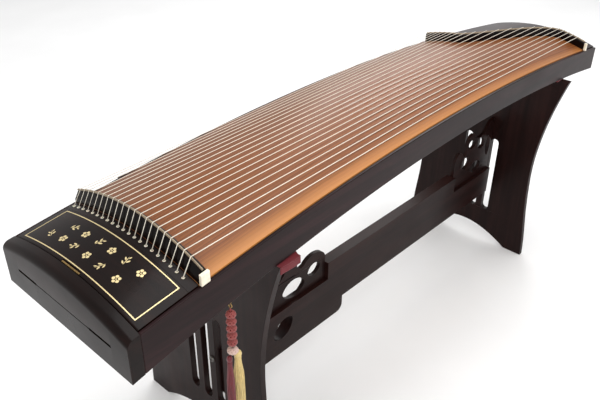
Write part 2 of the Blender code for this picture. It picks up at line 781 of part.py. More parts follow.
def string_route(number):
    """Points of one string: pin, head hole, front nut, along the arched top, rear nut, tail hole."""
    across = rear_share(number)
    pin_x, _ = pin_place(number)
    lift = STRING_RADIUS + 2 * GAP
    points = [(pin_x - PIN_RADIUS * 2 / 3, string_y(number, pin_x), STRING_ON_PIN_Z)]
    y = string_y(number, HOLE_ROW_X)
    top = surface(HOLE_ROW_X, y)
    points.append((HOLE_ROW_X, y, top - BOARD_THICKNESS - BEND_RISE))
    points.append((HOLE_ROW_X, y, top + BEND_RISE))
    nut_y = string_y(number, NUT_X)
    nut_share = (nut_y - INSTRUMENT_Y) / (half_width(NUT_X) - SIDE_THICKNESS - GAP)
    nut_top = surface(NUT_X, nut_y) + nut_height(nut_share) + 3 * GAP + SADDLE_HEIGHT + lift
    profile = [(NUT_X - SADDLE_THICKNESS / 2, nut_top), (NUT_X + SADDLE_THICKNESS / 2, nut_top)]
    rear_x = rear_nut_x(across)
    rear_half = rear_nut_half(across, SADDLE_THICKNESS) + 4 * STRING_RADIUS
    rear_lift = REAR_NUT_HEIGHT + 3 * GAP + SADDLE_HEIGHT + lift + 3 * GAP
    steps = 9
    for k in range(1, steps):
        x = NUT_X + (rear_x - NUT_X) * k / steps
        profile.append((x, surface(x, string_y(number, x)) + lift))
    for x in (rear_x - rear_half, rear_x + rear_half):
        profile.append((x, surface(x, string_y(number, x)) + rear_lift))
    for x, z in upper_hull(profile):
        points.append((x, string_y(number, x), z))
    hole_x = tail_hole_x(across)
    hole_y = string_y(number, hole_x)
    hole_top = surface(hole_x, hole_y)
    points.append((hole_x, hole_y, hole_top + BEND_RISE))
    points.append((hole_x, hole_y, hole_top - BOARD_THICKNESS - ANCHOR_DROP))
    return points


def upper_hull(profile):
    """The taut line over a row of (x, z) supports."""
    hull = []
    for point in sorted(profile):
        while len(hull) >= 2 and turns_up(hull[-2], hull[-1], point):
            hull.pop()
        hull.append(point)
    return hull


def turns_up(a, b, c):
    return (b[0] - a[0]) * (c[1] - a[1]) - (b[1] - a[1]) * (c[0] - a[0]) >= 0


def tube(name, points, radius, resolution, group, finish):
    curve = bpy.data.curves.new(name, "CURVE")
    curve.dimensions = "3D"
    curve.bevel_depth = radius
    curve.bevel_resolution = resolution
    curve.use_fill_caps = True
    spline = curve.splines.new("POLY")
    spline.points.add(len(points) - 1)
    for target, point in zip(spline.points, points):
        target.co = (*point, 1)
    obj = bpy.data.objects.new(name, curve)
    obj.data.materials.append(finish)
    group.objects.link(obj)
    return obj


def make_strings(group, tools, steel):
    """All the strings, joined by the wire that anchors their ends under the tail board."""
    anchor_points = []
    steps = 24
    low = rear_share(STRING_COUNT) - ANCHOR_MARGIN
    high = rear_share(1) + ANCHOR_MARGIN
    for k in range(steps + 1):
        across = low + (high - low) * k / steps
        x = tail_hole_x(across)
        y = across_to_y(x, across, SIDE_THICKNESS + GAP)
        anchor_points.append((x, y, surface(x, y) - BOARD_THICKNESS - ANCHOR_DROP))
    strings = to_mesh(tube("string_set", anchor_points, ANCHOR_RADIUS, 1, group, steel))
    for number in range(1, STRING_COUNT + 1):
        one = to_mesh(tube("string_%02d" % number, string_route(number), STRING_RADIUS, 0, tools, steel))
        strings = cut(strings, [one], "UNION")
    return strings


# Stand

def leg_outline():
    """One edge of a leg 1 m high, from foot to top, and one half of the arch; (y, z) points."""
    right = [(FOOT_OUTER - inset, z) for inset, z in FOOT_TAPER]
    steps = 8
    for k in range(steps + 1):
        share = k / steps
        z = LEG_WAIST_Z + share * (1 - LEG_WAIST_Z)
        flare = LEG_WAIST_HALF + (LEG_TOP_HALF - LEG_WAIST_HALF) * share ** LEG_FLARE_POWER
        right.append((flare, z))
    arch = [(FOOT_INNER, 0.0)]
    for k in range(1, 6):
        share = k / 6
        rise = math.sin(0.5 * math.pi * share) ** FOOT_ARCH_POWER
        arch.append((FOOT_INNER * (1 - share), FOOT_ARCH_Z * rise))
    return right, arch


def make_leg(name, outer_x, top_z, group, tools, wood):
    right, arch = leg_outline()
    stretch = (top_z - LEG_WAIST_Z) / (1 - LEG_WAIST_Z)
    scaled = []
    for y, z in right:
        scaled.append((y, z if z < LEG_WAIST_Z else LEG_WAIST_Z + (z - LEG_WAIST_Z) * stretch))
    corner = [(LEG_TOP_HALF - inset, top_z - drop) for inset, drop in LEG_CORNER]
    loop = scaled[:-1] + corner + [(-y, z) for y, z in reversed(scaled)]
    loop += [(-y, z) for y, z in arch] + [(0.0, FOOT_ARCH_Z)] + list(reversed(arch))
    loops = [loop]
    for offset in SLOT_OFFSETS:
        loops.append(slot_loop(offset, SLOT_WIDTH / 2, SLOT_BOTTOM_Z, SLOT_TOP_Z))
    leg = flat_curve(name, loops, LEG_THICKNESS, group, wood)
    leg.matrix_world = Matrix.Translation((outer_x + LEG_THICKNESS / 2, 0, 0)) @ side_on()
    bpy.context.view_layer.update()
    leg = to_mesh(leg)
    bars = [(BOLT_HOLE_RADIUS, (outer_x - CUTTER_REACH, BOLT_Y, BOLT_Z),
             (outer_x + LEG_THICKNESS + CUTTER_REACH, BOLT_Y, BOLT_Z))]
    return cut(leg, [rods(name + "_bolt_hole", bars, 10, tools)])


def side_on():
    """Turns a flat outline's own (a, b) into world (Y, Z)."""
    return Matrix(((0, 0, 1, 0), (1, 0, 0, 0), (0, 1, 0, 0), (0, 0, 0, 1)))


def front_on():
    """Turns a flat outline's own (a, b) into world (X, Z)."""
    return Matrix(((1, 0, 0, 0), (0, 0, -1, 0), (0, 1, 0, 0), (0, 0, 0, 1)))


def make_stretcher(group, tools, wood):
    """The long board between the legs, with lower ends where the brackets stand and a deeper head end."""
    start = NEAR_LEG_X + LEG_THICKNESS + GAP
    end = FAR_LEG_X - GAP
    corner = STRETCHER_STEP_X - STRETCHER_CORNER
    loop = [(start, STRETCHER_END_Z), (start, STRETCHER_DEEP_Z), (corner, STRETCHER_DEEP_Z)]
    loop += arc((corner, STRETCHER_DEEP_Z + STRETCHER_CORNER), STRETCHER_CORNER, -90, 0, 4)[1:]
    loop += [(STRETCHER_STEP_X, STRETCHER_BOTTOM_Z), (end, STRETCHER_BOTTOM_Z), (end, STRETCHER_END_Z)]
    for x, way in ((end - TAIL_BRACKET[0] - 2 * GAP, -1), (start + HEAD_BRACKET[0] + 2 * GAP, 1)):
        rise = [(x, STRETCHER_END_Z), (x, STRETCHER_TOP_Z)]
        loop += rise[::-way]
    board = flat_curve("stretcher", [loop, leaf_hole(*STRETCHER_HOLE)], STRETCHER_THICKNESS, group, wood)
    board.matrix_world = Matrix.Translation((0, STRETCHER_Y, 0)) @ front_on()
    bpy.context.view_layer.update()
    board = to_mesh(board)
    bars = []
    for x, way in ((start, 1), (end, -1)):
        bars.append((BOLT_HOLE_RADIUS, (x - way * CUTTER_REACH, BOLT_Y, BOLT_Z),
                     (x + way * (BOLT_LENGTH - LEG_THICKNESS + BOLT_END_ROOM), BOLT_Y, BOLT_Z)))
    return cut(board, [rods("stretcher_bolt_holes", bars, 10, tools)])


def leaf_hole(x, z, length, width, tilt):
    """A pointed oval hole, of (x, z) points."""
    points = []
    steps = 8
    turn = math.radians(tilt)
    for k in range(steps):
        angle = 2 * math.pi * k / steps
        a = 0.5 * length * math.cos(angle)
        b = 0.5 * width * math.sin(angle) * (0.6 + 0.4 * abs(math.sin(angle)))
        points.append((x + a * math.cos(turn) - b * math.sin(turn),
                       z + a * math.sin(turn) + b * math.cos(turn)))
    return points


def make_bracket(name, start, way, size, holes, group, wood):
    """A thin pierced scroll that fills the corner between a leg and the stretcher."""
    length, height = size
    base = STRETCHER_END_Z + GAP
    outline = [(0.0, 0.0), (length, 0.0)]
    outline += arc_share((0.88, 0.46), (0.119, 0.22), -10, 150, 6, length, height)
    outline += [(length * 0.745, height * 0.55), (length * 0.72, height * 0.58)]
    outline += arc_share((0.58, 0.68), (0.13, 0.24), -10, 150, 5, length, height)
    outline += [(length * 0.36, height * 0.77), (length * 0.25, height * 0.80),
                (length * 0.12, height * 0.97), (0.0, height)]
    loops = [outline]
    for along, up, long, wide, tilt in holes:
        loops.append(leaf_hole(length * along, height * up, long, wide, tilt))
    loops = [[(start + way * a, base + b) for a, b in loop] for loop in loops]
    bracket = flat_curve(name, loops, BRACKET_THICKNESS, group, wood)
    bracket.matrix_world = Matrix.Translation((0, STRETCHER_Y, 0)) @ front_on()
    bpy.context.view_layer.update()
    return to_mesh(bracket)


def arc_share(centre, radii, start, end, steps, length, height):
    """Points on an oval arc given as shares of a length and a height."""
    points = []
    for a, b in arc((0, 0), 1.0, start, end, steps):
        points.append(((centre[0] + radii[0] * a) * length, (centre[1] + radii[1] * b) * height))
    return points


def make_pad(name, low_x, width, top_z, tongue, group, tools, felt):
    """Felt between a leg and the sloping back board; a tongue folds down over the leg's bass end."""

    def place(u, v, w):
        x = low_x + u * width
        y = across_to_y(x, 2 * v - 1, SIDE_THICKNESS)
        low = top_z + GAP
        return x, y, low + w * (body_bottom(x) - 2 * GAP - low)

    pad = bent_block(name, (1, 1, 1), place, group, felt)
    if not tongue:
        return pad
    reach = LEG_TOP_HALF + GAP
    outer = reach + PAD_TONGUE_THICKNESS
    back = low_x + width
    shelf = box("pad_shelf", (low_x, -outer, top_z + GAP),
                (back, PAD_TREBLE_END, top_z + PAD_TONGUE_THICKNESS), tools)
    fold = box("pad_fold", (low_x, -outer, top_z - PAD_TONGUE_DROP), (back, -reach, top_z + 2 * GAP), tools)
    return cut(pad, [shelf, fold], "UNION")


def make_bolts(group, steel):
    """Furniture bolts that hold the stretcher; each goes through a leg into the stretcher's end."""
    head = BOLT_HEAD_HEIGHT
    profile = [(0.0, BOLT_LENGTH), (BOLT_RADIUS, BOLT_LENGTH), (BOLT_RADIUS, -GAP),
               (BOLT_HEAD_RADIUS, -GAP), (BOLT_HEAD_RADIUS, -GAP - head * 0.6),
               (BOLT_HEAD_RADIUS * 0.8, -GAP - head), (0.0, -GAP - head)]
    for name, outer_x, way in (("stretcher_bolt_head", NEAR_LEG_X, 1),
                               ("stretcher_bolt_tail", FAR_LEG_X + LEG_THICKNESS, -1)):
        bolt = turned(name, profile, 12, group, steel, (outer_x, BOLT_Y, BOLT_Z))
        bolt.rotation_euler = (0, way * math.pi / 2, 0)


# Ornament

def eye_centre():
    """Middle of the ring of the screw eye under the bass-side board."""
    y = INSTRUMENT_Y - half_width(ORNAMENT_X) + SIDE_THICKNESS / 2
    return Vector((ORNAMENT_X, y, body_bottom(ORNAMENT_X) - EYE_RADIUS - EYE_DROP))


def make_screw_eye(group, tools, brass, side_board):
    """A ring on a short shank that is screwed up into the side board."""
    centre = eye_centre()
    bm = bmesh.new()
    turns, around = 12, 6
    rings = []
    for k in range(turns):
        angle = 2 * math.pi * k / turns
        ring = []
        for j in range(around):
            bend = 2 * math.pi * j / around
            reach = EYE_RADIUS + EYE_WIRE * math.cos(bend)
            ring.append(bm.verts.new((centre.x + EYE_WIRE * math.sin(bend),
                                      centre.y + reach * math.sin(angle),
                                      centre.z + reach * math.cos(angle))))
        rings.append(ring)
    for k in range(turns):
        for j in range(around):
            bm.faces.new((rings[k][j], rings[(k + 1) % turns][j],
                          rings[(k + 1) % turns][(j + 1) % around], rings[k][(j + 1) % around]))
    eye = add_object("screw_eye", bm, group, brass)
    low = (centre.x, centre.y, centre.z + EYE_RADIUS - SHANK_OVERLAP)
    high = (centre.x, centre.y, centre.z + EYE_RADIUS + SHANK_LENGTH)
    shank = rods("eye_shank", [(EYE_WIRE, low, high)], 8, tools, brass)
    cut(eye, [shank], "UNION")
    hole = rods("eye_hole", [(EYE_WIRE + 2 * GAP, (centre.x, centre.y, centre.z),
                              (centre.x, centre.y, centre.z + EYE_RADIUS + SHANK_HOLE_DEPTH))], 8, tools)
    return cut(side_board, [hole])


def make_ornament(group, cord_red, bead_pink, tassel_red, tassel_gold):
    """The hanging strand: cord, knotted buttons, end knot and two tassels side by side."""
    pivot = eye_centre() - Vector((0, 0, EYE_RADIUS))
    top = pivot.z - EYE_WIRE - GAP - CORD_CLEARANCE
    bead_top = top - CORD_TOP_LENGTH
    bead_step = 2 * BEAD_RADIUS * BEAD_PITCH
    bead_bottom = bead_top - BEAD_COUNT * bead_step
    cord_end = bead_bottom - CORD_END_LENGTH
    count = 16
    points = [(pivot.x, pivot.y, top + (cord_end - top) * k / count) for k in range(count + 1)]
    to_mesh(tube("ornament_cord", points, CORD_RADIUS, 2, group, cord_red))
    profile = []
    for k in range(BEAD_COUNT):
        middle = bead_top - (k + 0.5) * bead_step
        for angle in (60, 20, -20, -60):
            turn = math.radians(angle)
            profile.append((BEAD_RADIUS * math.cos(turn),
                            middle + 0.5 * bead_step * math.sin(turn) * BEAD_STRETCH))
    profile += [(BEAD_BORE, bead_bottom), (BEAD_BORE, bead_top)]
    turned("ornament_beads", profile, 10, group, bead_pink, (pivot.x, pivot.y, 0))
    knot_top = cord_end - GAP
    knot_bottom = knot_top - KNOT_HEIGHT
    turned("ornament_knot", ball_profile(KNOT_RADIUS, knot_top, knot_bottom), 10, group, bead_pink,
           (pivot.x, pivot.y, 0))
    high = knot_bottom - GAP
    for (name, shift, radius, length), finish in zip(TASSELS, (tassel_red, tassel_gold)):
        turned(name, tassel_profile(radius, high, high - length), 10, group, finish,
               (pivot.x + shift, pivot.y, 0))


def ball_profile(radius, high, low):
    points = []
    for angle in (90, 50, 15, -15, -50, -90):
        turn = math.radians(angle)
        reach = 0.0 if abs(angle) == 90 else radius * math.cos(turn)
        points.append((reach, (high + low) / 2 + (high - low) / 2 * math.sin(turn)))
    return points


def tassel_profile(radius, high, low):
    """Cap, tied neck and a skirt that widens a little."""
    return [(0.0, high), (radius * 0.55, high - 0.001), (radius * 0.7, high - 0.008),
            (radius * 0.5, high - 0.013), (radius * 0.8, high - 0.022), (radius * 0.9, (high + low) / 2),
            (radius, low), (0.0, low)]


def main():
    clear_scene()
    parts = new_collection("guzheng")
    tools = new_collection("cutters")
    paulownia = material("paulownia", (0.36, 0.15, 0.06), 0.45)
    rosewood = material("rosewood", (0.035, 0.015, 0.012), 0.35)
    black_wood = material("black_wood", (0.012, 0.008, 0.007), 0.25)
    plain_wood = material("plain_wood", (0.5, 0.35, 0.2), 0.6)
    stand_wood = material("stand_wood", (0.04, 0.018, 0.014), 0.4)
    bone = material("bone", (0.85, 0.8, 0.68), 0.35)
    steel = material("steel", (0.6, 0.6, 0.6), 0.3, 1.0)
    string_finish = material("string", (0.75, 0.7, 0.6), 0.35, 0.8)
    gold = material("gold_inlay", (0.8, 0.68, 0.38), 0.35, 0.7)
    brass = material("dark_brass", (0.25, 0.18, 0.08), 0.4, 1.0)
    felt = material("red_felt", (0.3, 0.02, 0.03), 0.95)
    red_cord = material("red_cord", (0.45, 0.05, 0.05), 0.8)
    pink_bead = material("pink_knotwork", (0.62, 0.25, 0.22), 0.7)
    red_silk = material("red_silk", (0.4, 0.01, 0.04), 0.6)
    gold_silk = material("gold_silk", (0.75, 0.6, 0.2), 0.55)

    make_soundboard(parts, paulownia)
    make_tail_board(parts, tools, rosewood)
    front_side = make_side_board("side_board_bass", -1, parts, rosewood)
    make_side_board("side_board_treble", 1, parts, rosewood)
    make_head_end(parts, black_wood)
    make_tail_end(parts, rosewood)
    make_back_board(parts, tools, plain_wood)
    for name, x in zip(("head", "middle", "tail"), BRACE_X):
        make_brace("sound_brace_" + name, x, parts, plain_wood)
    make_nut_brace(parts, plain_wood)
    make_string_hole_board(parts, tools, black_wood)
    make_pin_block(parts, tools, plain_wood)
    make_front_nut(parts, black_wood, bone)
    make_rear_nut(parts, black_wood, bone)
    make_nut_caps(parts, bone)
    for number in range(1, STRING_COUNT + 1):
        make_tuning_pin(number, parts, steel)
    make_strings(parts, tools, string_finish)
    make_lid(parts, tools, black_wood)
    make_lid_border(parts, tools, gold)
    make_lid_hinge(parts, tools, brass)

    make_leg("leg_panel_head", NEAR_LEG_X, NEAR_LEG_TOP_Z, parts, tools, stand_wood)
    make_leg("leg_panel_tail", FAR_LEG_X, FAR_LEG_TOP_Z, parts, tools, stand_wood)
    make_stretcher(parts, tools, stand_wood)
    make_bracket("fret_bracket_head", NEAR_LEG_X + LEG_THICKNESS + GAP, 1, HEAD_BRACKET,
                 HEAD_BRACKET_HOLES, parts, stand_wood)
    make_bracket("fret_bracket_tail", FAR_LEG_X - GAP, -1, TAIL_BRACKET, TAIL_BRACKET_HOLES, parts,
                 stand_wood)
    make_pad("felt_pad_head", NEAR_LEG_X, HEAD_PAD_WIDTH, NEAR_LEG_TOP_Z, True, parts, tools, felt)
    make_pad("felt_pad_tail", FAR_LEG_X + LEG_THICKNESS - TAIL_PAD_WIDTH, TAIL_PAD_WIDTH,
             FAR_LEG_TOP_Z, False, parts, tools, felt)
    make_bolts(parts, steel)

    make_screw_eye(parts, tools, brass, front_side)
    make_ornament(parts, red_cord, pink_bead, red_silk, gold_silk)


main()
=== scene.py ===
"""Finished looks of a guzheng on its stand, laid out as an add-on and run as a script."""

import math
import random

import bmesh
import bpy
from bpy.props import FloatProperty, FloatVectorProperty, IntProperty, PointerProperty
from mathutils import Matrix, Vector


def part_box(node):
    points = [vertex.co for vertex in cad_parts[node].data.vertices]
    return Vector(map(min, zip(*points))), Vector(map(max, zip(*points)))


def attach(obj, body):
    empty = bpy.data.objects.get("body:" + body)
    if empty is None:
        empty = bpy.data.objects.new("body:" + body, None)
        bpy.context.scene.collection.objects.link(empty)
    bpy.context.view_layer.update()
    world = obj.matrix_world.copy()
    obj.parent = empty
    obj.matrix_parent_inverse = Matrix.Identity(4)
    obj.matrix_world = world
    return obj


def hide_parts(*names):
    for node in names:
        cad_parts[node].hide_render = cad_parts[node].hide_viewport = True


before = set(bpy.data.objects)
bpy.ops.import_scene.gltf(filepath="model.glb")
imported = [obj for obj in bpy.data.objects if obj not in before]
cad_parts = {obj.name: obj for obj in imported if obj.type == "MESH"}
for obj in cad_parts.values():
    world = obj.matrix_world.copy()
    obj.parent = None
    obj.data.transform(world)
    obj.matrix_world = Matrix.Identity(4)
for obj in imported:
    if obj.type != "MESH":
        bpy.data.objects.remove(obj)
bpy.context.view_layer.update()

bl_info = {
    "name": "Guzheng on its stand",
    "version": (1, 0, 0),
    "blender": (4, 5, 0),
    "location": "View3D > Sidebar > Guzheng",
    "description": "Builds the finished surfaces of a 21-string guzheng and its stand",
    "category": "Object",
}

# The body's curves, the same as the frame's
GAP = 0.0003
LENGTH = 1.63
HEAD_WIDTH = 0.362
TAIL_WIDTH = 0.324
CENTRE_Y = -0.0635
TOP_PEAK = (0.059, 0.6911)
TOP_ARCH = 0.0844
BOTTOM_PEAK = (0.1, 0.634)
BOTTOM_ARCH = 0.104
CROWN = 0.026
SIDE = 0.007
BOARD = 0.008
BACK = 0.005
INSET = SIDE + GAP
HEAD_BLOCK = 0.0245
HEAD_ROUNDING = 0.012
LID_END_X = -0.6935
LID_THICKNESS = 0.006
LID_LIP = 0.03  # share of the lid's length that its rounded front edge takes
HINGE_DEPTH = 0.003
HINGE_HALF_WIDTH = 0.026
BORDER_INSET = 0.0045
BORDER_HALF_Y = 0.158
BORDER_WIDTH = 0.0018
INLAY_LEVELS = (-0.0002, 0.00025)  # foot and face of the inlay, from the lid's top
NUT_X = -0.663
NUT_THICKNESS = 0.018
SOUNDBOARD_LIP = 0.0002  # how far the soundboard starts ahead of the front nut
NUT_HEIGHTS = (0.021, 0.031)
REAR_NUT = {"x": 0.581, "reach": 0.158, "shift": 0.06, "flank": 0.5, "thickness": 0.009, "height": 0.021}
SADDLE = (0.003, 0.003)  # thickness and height
HOLE_X = -0.682
HOLE_RADIUS = 0.0022
EYELET_RADIUS = 0.00235
TAIL_HOLE_OFFSET = 0.012
STRINGS = 21
STRING_SPACING = 0.01535
STRING_CENTRE = 0.0065
PIN_ROWS = (-0.726, -0.748, -0.770)
PIN_RADIUS = 0.003
STRING_ON_PIN_Z = 0.6015
LEG_X = {"head": -0.505, "tail": 0.623}
LEG_TOP = {"head": 0.5915, "tail": 0.5975}
LEG_THICKNESS = 0.015
LEG_TOP_HALF = 0.2447
LEG_WAIST_HALF = 0.187
LEG_WAIST_Z = 0.29
FLARE_POWER = 1.8
FOOT_EDGE = ((0.208, 0.0), (0.2068, 0.02), (0.204, 0.06), (0.1985, 0.11), (0.194, 0.15), (0.1895, 0.21),
             (0.187, 0.27))  # half width at each height, up to the waist
FOOT_INNER = 0.148
FOOT_ARCH_Z = 0.05
FOOT_ARCH_POWER = 0.9
# Rounding of a leg's treble-side top corner: distance in from the flare's tip, distance below the top
LEG_CORNER = ((0.0016, 0.03), (0.0045, 0.022), (0.009, 0.012), (0.0125, 0.0075), (0.018, 0.004),
              (0.024, 0.0012), (0.03, 0.0))
SLOTS = (-0.0605, -0.0165, 0.0275)
SLOT_HALF = 0.012
SLOT_REACH = (0.112, 0.361)
STRETCHER_Y = -0.043
STRETCHER_THICKNESS = 0.030
STRETCHER_TOP = 0.31
STRETCHER_BOTTOM = 0.177
STRETCHER_DEEP = 0.134
STRETCHER_STEP_X = -0.09
STRETCHER_CORNER = 0.02
STRETCHER_END = 0.262  # top of the lowered ends, where the brackets stand
STRETCHER_HOLE = (-0.305, 0.206, 0.07, 0.05, 35)  # x, z, length, width, tilt in degrees
BRACKET_THICKNESS = 0.010
PAD_TONGUE = 0.014  # how far the felt folds down over the head leg's bass end
PAD_FELT = 0.003
PAD_TREBLE_END = 0.2
BRACKET_SIZES = {"head": (0.34, 0.138), "tail": (0.207, 0.168)}
BRACKET_HOLES = {  # place as shares of length and height, then length, width and tilt in degrees
    "head": ((0.675, 0.235, 0.074, 0.05, 0), (0.88, 0.36, 0.044, 0.034, 10), (0.52, 0.66, 0.06, 0.034, 30),
             (0.37, 0.33, 0.06, 0.045, -15), (0.15, 0.50, 0.075, 0.045, 80)),
    "tail": ((0.33, 0.64, 0.05, 0.036, 30), (0.70, 0.40, 0.05, 0.040, 10), (0.40, 0.20, 0.06, 0.036, 0),
             (0.11, 0.50, 0.07, 0.026, 85), (0.57, 0.72, 0.04, 0.03, 20))}
BOLT_Y = -0.039
BOLT_LENGTH = 0.055
PAD_WIDTHS = {"head": 0.05, "tail": 0.036}
SOUND_HOLES = ((-0.56, 0.12, 0.07), (0.1, 0.11, 0.06), (0.55, 0.12, 0.05))
BUTTONS = 5
CORD_RADIUS = 0.0013
EYE_RADIUS = 0.004
EYE_WIRE = 0.001
THREAD_TURN = 2.399963  # golden angle, which spreads the threads evenly


def half_width(x):
    return 0.5 * (HEAD_WIDTH + (TAIL_WIDTH - HEAD_WIDTH) * (x / LENGTH + 0.5))


def edge_top(x):
    return TOP_PEAK[1] - TOP_ARCH * (x - TOP_PEAK[0]) ** 2


def body_bottom(x):
    return BOTTOM_PEAK[1] - BOTTOM_ARCH * (x - BOTTOM_PEAK[0]) ** 2


def surface(x, y):
    across = (y - CENTRE_Y) / half_width(x)
    return edge_top(x) + CROWN * (1 - across * across)


def inner_y(x, share, inset=INSET):
    return CENTRE_Y + share * (half_width(x) - inset)


def rear_nut_x(share):
    turn = max(-1.0, min(1.0, (share + REAR_NUT["shift"]) / REAR_NUT["flank"]))
    return REAR_NUT["x"] - REAR_NUT["reach"] * math.sin(0.5 * math.pi * turn)


def rear_nut_half(share, thickness):
    step = 0.01
    slope = (rear_nut_x(share + step) - rear_nut_x(share - step)) / (2 * step * half_width(REAR_NUT["x"]))
    return 0.5 * thickness * math.sqrt(1 + slope * slope)


def tail_hole_x(share):
    return rear_nut_x(share) + rear_nut_half(share, REAR_NUT["thickness"]) + TAIL_HOLE_OFFSET


def nut_height(share):
    low, high = NUT_HEIGHTS
    return low + (high - low) * (1 - share * share)


def string_share(number):
    return (STRING_CENTRE + STRING_SPACING * ((STRINGS + 1) / 2 - number)) / half_width(NUT_X)


def rear_share(number):
    middle = half_width(REAR_NUT["x"])
    return string_share(number) * middle / (middle - INSET)


def string_y(number, x):
    return CENTRE_Y + string_share(number) * half_width(x)


def pin_place(number):
    x = PIN_ROWS[(number - 1) % len(PIN_ROWS)]
    low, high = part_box("tuning_pin_%02d" % number)
    return x, (low.y + high.y) / 2


def circle(count):
    """Equal angles round a full turn."""
    return [2 * math.pi * k / count for k in range(count)]


def smooth_step(value):
    value = max(0.0, min(1.0, value))
    return value * value * (3 - 2 * value)


# Settings a user can change

class GuzhengSizes(bpy.types.PropertyGroup):
    treble_string: FloatProperty(name="Treble string", description="Diameter of the thinnest string",
                                 default=0.0011, subtype="DISTANCE", unit="LENGTH")
    bass_string: FloatProperty(name="Bass string", description="Diameter of the thickest string",
                               default=0.0019, subtype="DISTANCE", unit="LENGTH")
    board_edge: FloatProperty(name="Board edges", description="Rounding of the body's long edges",
                              default=0.0014, subtype="DISTANCE", unit="LENGTH")
    stand_edge: FloatProperty(name="Stand edges", description="Rounding of the stand's edges",
                              default=0.0028, subtype="DISTANCE", unit="LENGTH")
    pin_turns: FloatProperty(name="Turns on a pin", description="Turns of string wound on each tuning pin",
                             default=3.5)
    tassel_threads: IntProperty(name="Tassel threads", description="Threads that show on each tassel",
                                default=96)


class GuzhengColours(bpy.types.PropertyGroup):
    top_light: FloatVectorProperty(name="Top, light grain", description="Early wood of the soundboard",
                                   default=(0.27, 0.087, 0.022), subtype="COLOR", min=0, max=1)
    top_dark: FloatVectorProperty(name="Top, dark grain", description="Late wood of the soundboard",
                                  default=(0.06, 0.017, 0.006), subtype="COLOR", min=0, max=1)
    side: FloatVectorProperty(name="Sides", description="Rosewood of the side boards",
                              default=(0.013, 0.0042, 0.0046), subtype="COLOR", min=0, max=1)
    head: FloatVectorProperty(name="Head", description="Lacquered wood of the head, the lid and the nuts",
                              default=(0.0062, 0.0019, 0.0013), subtype="COLOR", min=0, max=1)
    stand: FloatVectorProperty(name="Stand", description="Stained wood of the stand",
                               default=(0.0135, 0.0048, 0.0042), subtype="COLOR", min=0, max=1)
    gold: FloatVectorProperty(name="Gold inlay", description="Border and sprigs on the lid",
                              default=(0.72, 0.58, 0.3), subtype="COLOR", min=0, max=1)
    string: FloatVectorProperty(name="Strings", description="Wound strings",
                                default=(0.83, 0.76, 0.64), subtype="COLOR", min=0, max=1)
    red_silk: FloatVectorProperty(name="Red silk", description="Red tassel and felt",
                                  default=(0.13, 0.003, 0.009), subtype="COLOR", min=0, max=1)


# Mesh helpers

def add_mesh(name, verts, faces, finish, smooth_angle=40):
    mesh = bpy.data.meshes.new(name)
    mesh.from_pydata([tuple(v) for v in verts], [], faces)
    bm = bmesh.new()
    bm.from_mesh(mesh)
    bmesh.ops.recalc_face_normals(bm, faces=bm.faces[:])
    bm.to_mesh(mesh)
    bm.free()
    return add_object(name, mesh, finish, smooth_angle)


def add_object(name, mesh, finish, smooth_angle=40):
    obj = bpy.data.objects.new(name, mesh)
    bpy.context.scene.collection.objects.link(obj)
    mesh.materials.clear()
    mesh.materials.append(finish)
    mesh.shade_smooth()
    mesh.set_sharp_from_angle(angle=math.radians(smooth_angle))
    return obj


def round_edges(obj, width, segments=3, angle=40):
    bevel = obj.modifiers.new("rounded_edges", "BEVEL")
    bevel.width = width
    bevel.segments = segments
    bevel.limit_method = "ANGLE"
    bevel.angle_limit = math.radians(angle)
    bevel.harden_normals = True
    return obj


def baked(obj):
    """The object's evaluated shape as a plain mesh object of the same name."""
    bpy.context.view_layer.update()
    graph = bpy.context.evaluated_depsgraph_get()
    mesh = bpy.data.meshes.new_from_object(obj.evaluated_get(graph))
    mesh.transform(obj.matrix_world)
    bm = bmesh.new()
    bm.from_mesh(mesh)
    bmesh.ops.remove_doubles(bm, verts=bm.verts[:], dist=0.000005)
    bmesh.ops.recalc_face_normals(bm, faces=bm.faces[:])
    bm.to_mesh(mesh)
    bm.free()
    name = obj.name
    finish = obj.data.materials[0] if obj.data.materials else None
    bpy.data.objects.remove(obj, do_unlink=True)
    return add_object(name, mesh, finish)


def cut(obj, tool):
    boolean = obj.modifiers.new("cut", "BOOLEAN")
    boolean.operation = "DIFFERENCE"
    boolean.solver = "EXACT"
    boolean.object = tool
    made = baked(obj)
    bpy.data.objects.remove(tool, do_unlink=True)
    return made


def board(name, counts, place, finish):
    """A bent board: place(u, v, w) gives its faces, w 0 below and 1 above."""
    nu, nv = counts
    verts = []
    for w in (0, 1):
        for i in range(nu + 1):
            for j in range(nv + 1):
                verts.append(place(i / nu, j / nv, w))
    layer = (nu + 1) * (nv + 1)

    def at(i, j, w):
        return w * layer + i * (nv + 1) + j

    faces = []
    for i in range(nu):
        for j in range(nv):
            faces.append((at(i, j, 1), at(i + 1, j, 1), at(i + 1, j + 1, 1), at(i, j + 1, 1)))
            faces.append((at(i, j, 0), at(i, j + 1, 0), at(i + 1, j + 1, 0), at(i + 1, j, 0)))
    for i in range(nu):
        for j in (0, nv):
            faces.append((at(i, j, 0), at(i + 1, j, 0), at(i + 1, j, 1), at(i, j, 1)))
    for j in range(nv):
        for i in (0, nu):
            faces.append((at(i, j, 0), at(i, j + 1, 0), at(i, j + 1, 1), at(i, j, 1)))
    return add_mesh(name, verts, faces, finish)


def loft(name, rings, finish, closed=False, smooth_angle=40):
    """Joins equal rings of points into one skin, capped at both ends unless it closes on itself."""
    count = len(rings[0])
    verts = [point for ring in rings for point in ring]
    faces = []
    spans = len(rings) if closed else len(rings) - 1
    for k in range(spans):
        near, far = k * count, ((k + 1) % len(rings)) * count
        for j in range(count):
            nxt = (j + 1) % count
            faces.append((near + j, near + nxt, far + nxt, far + j))
    if not closed:
        faces.append(tuple(range(count)))
        faces.append(tuple(range(len(verts) - count, len(verts))))
    return add_mesh(name, verts, faces, finish, smooth_angle)


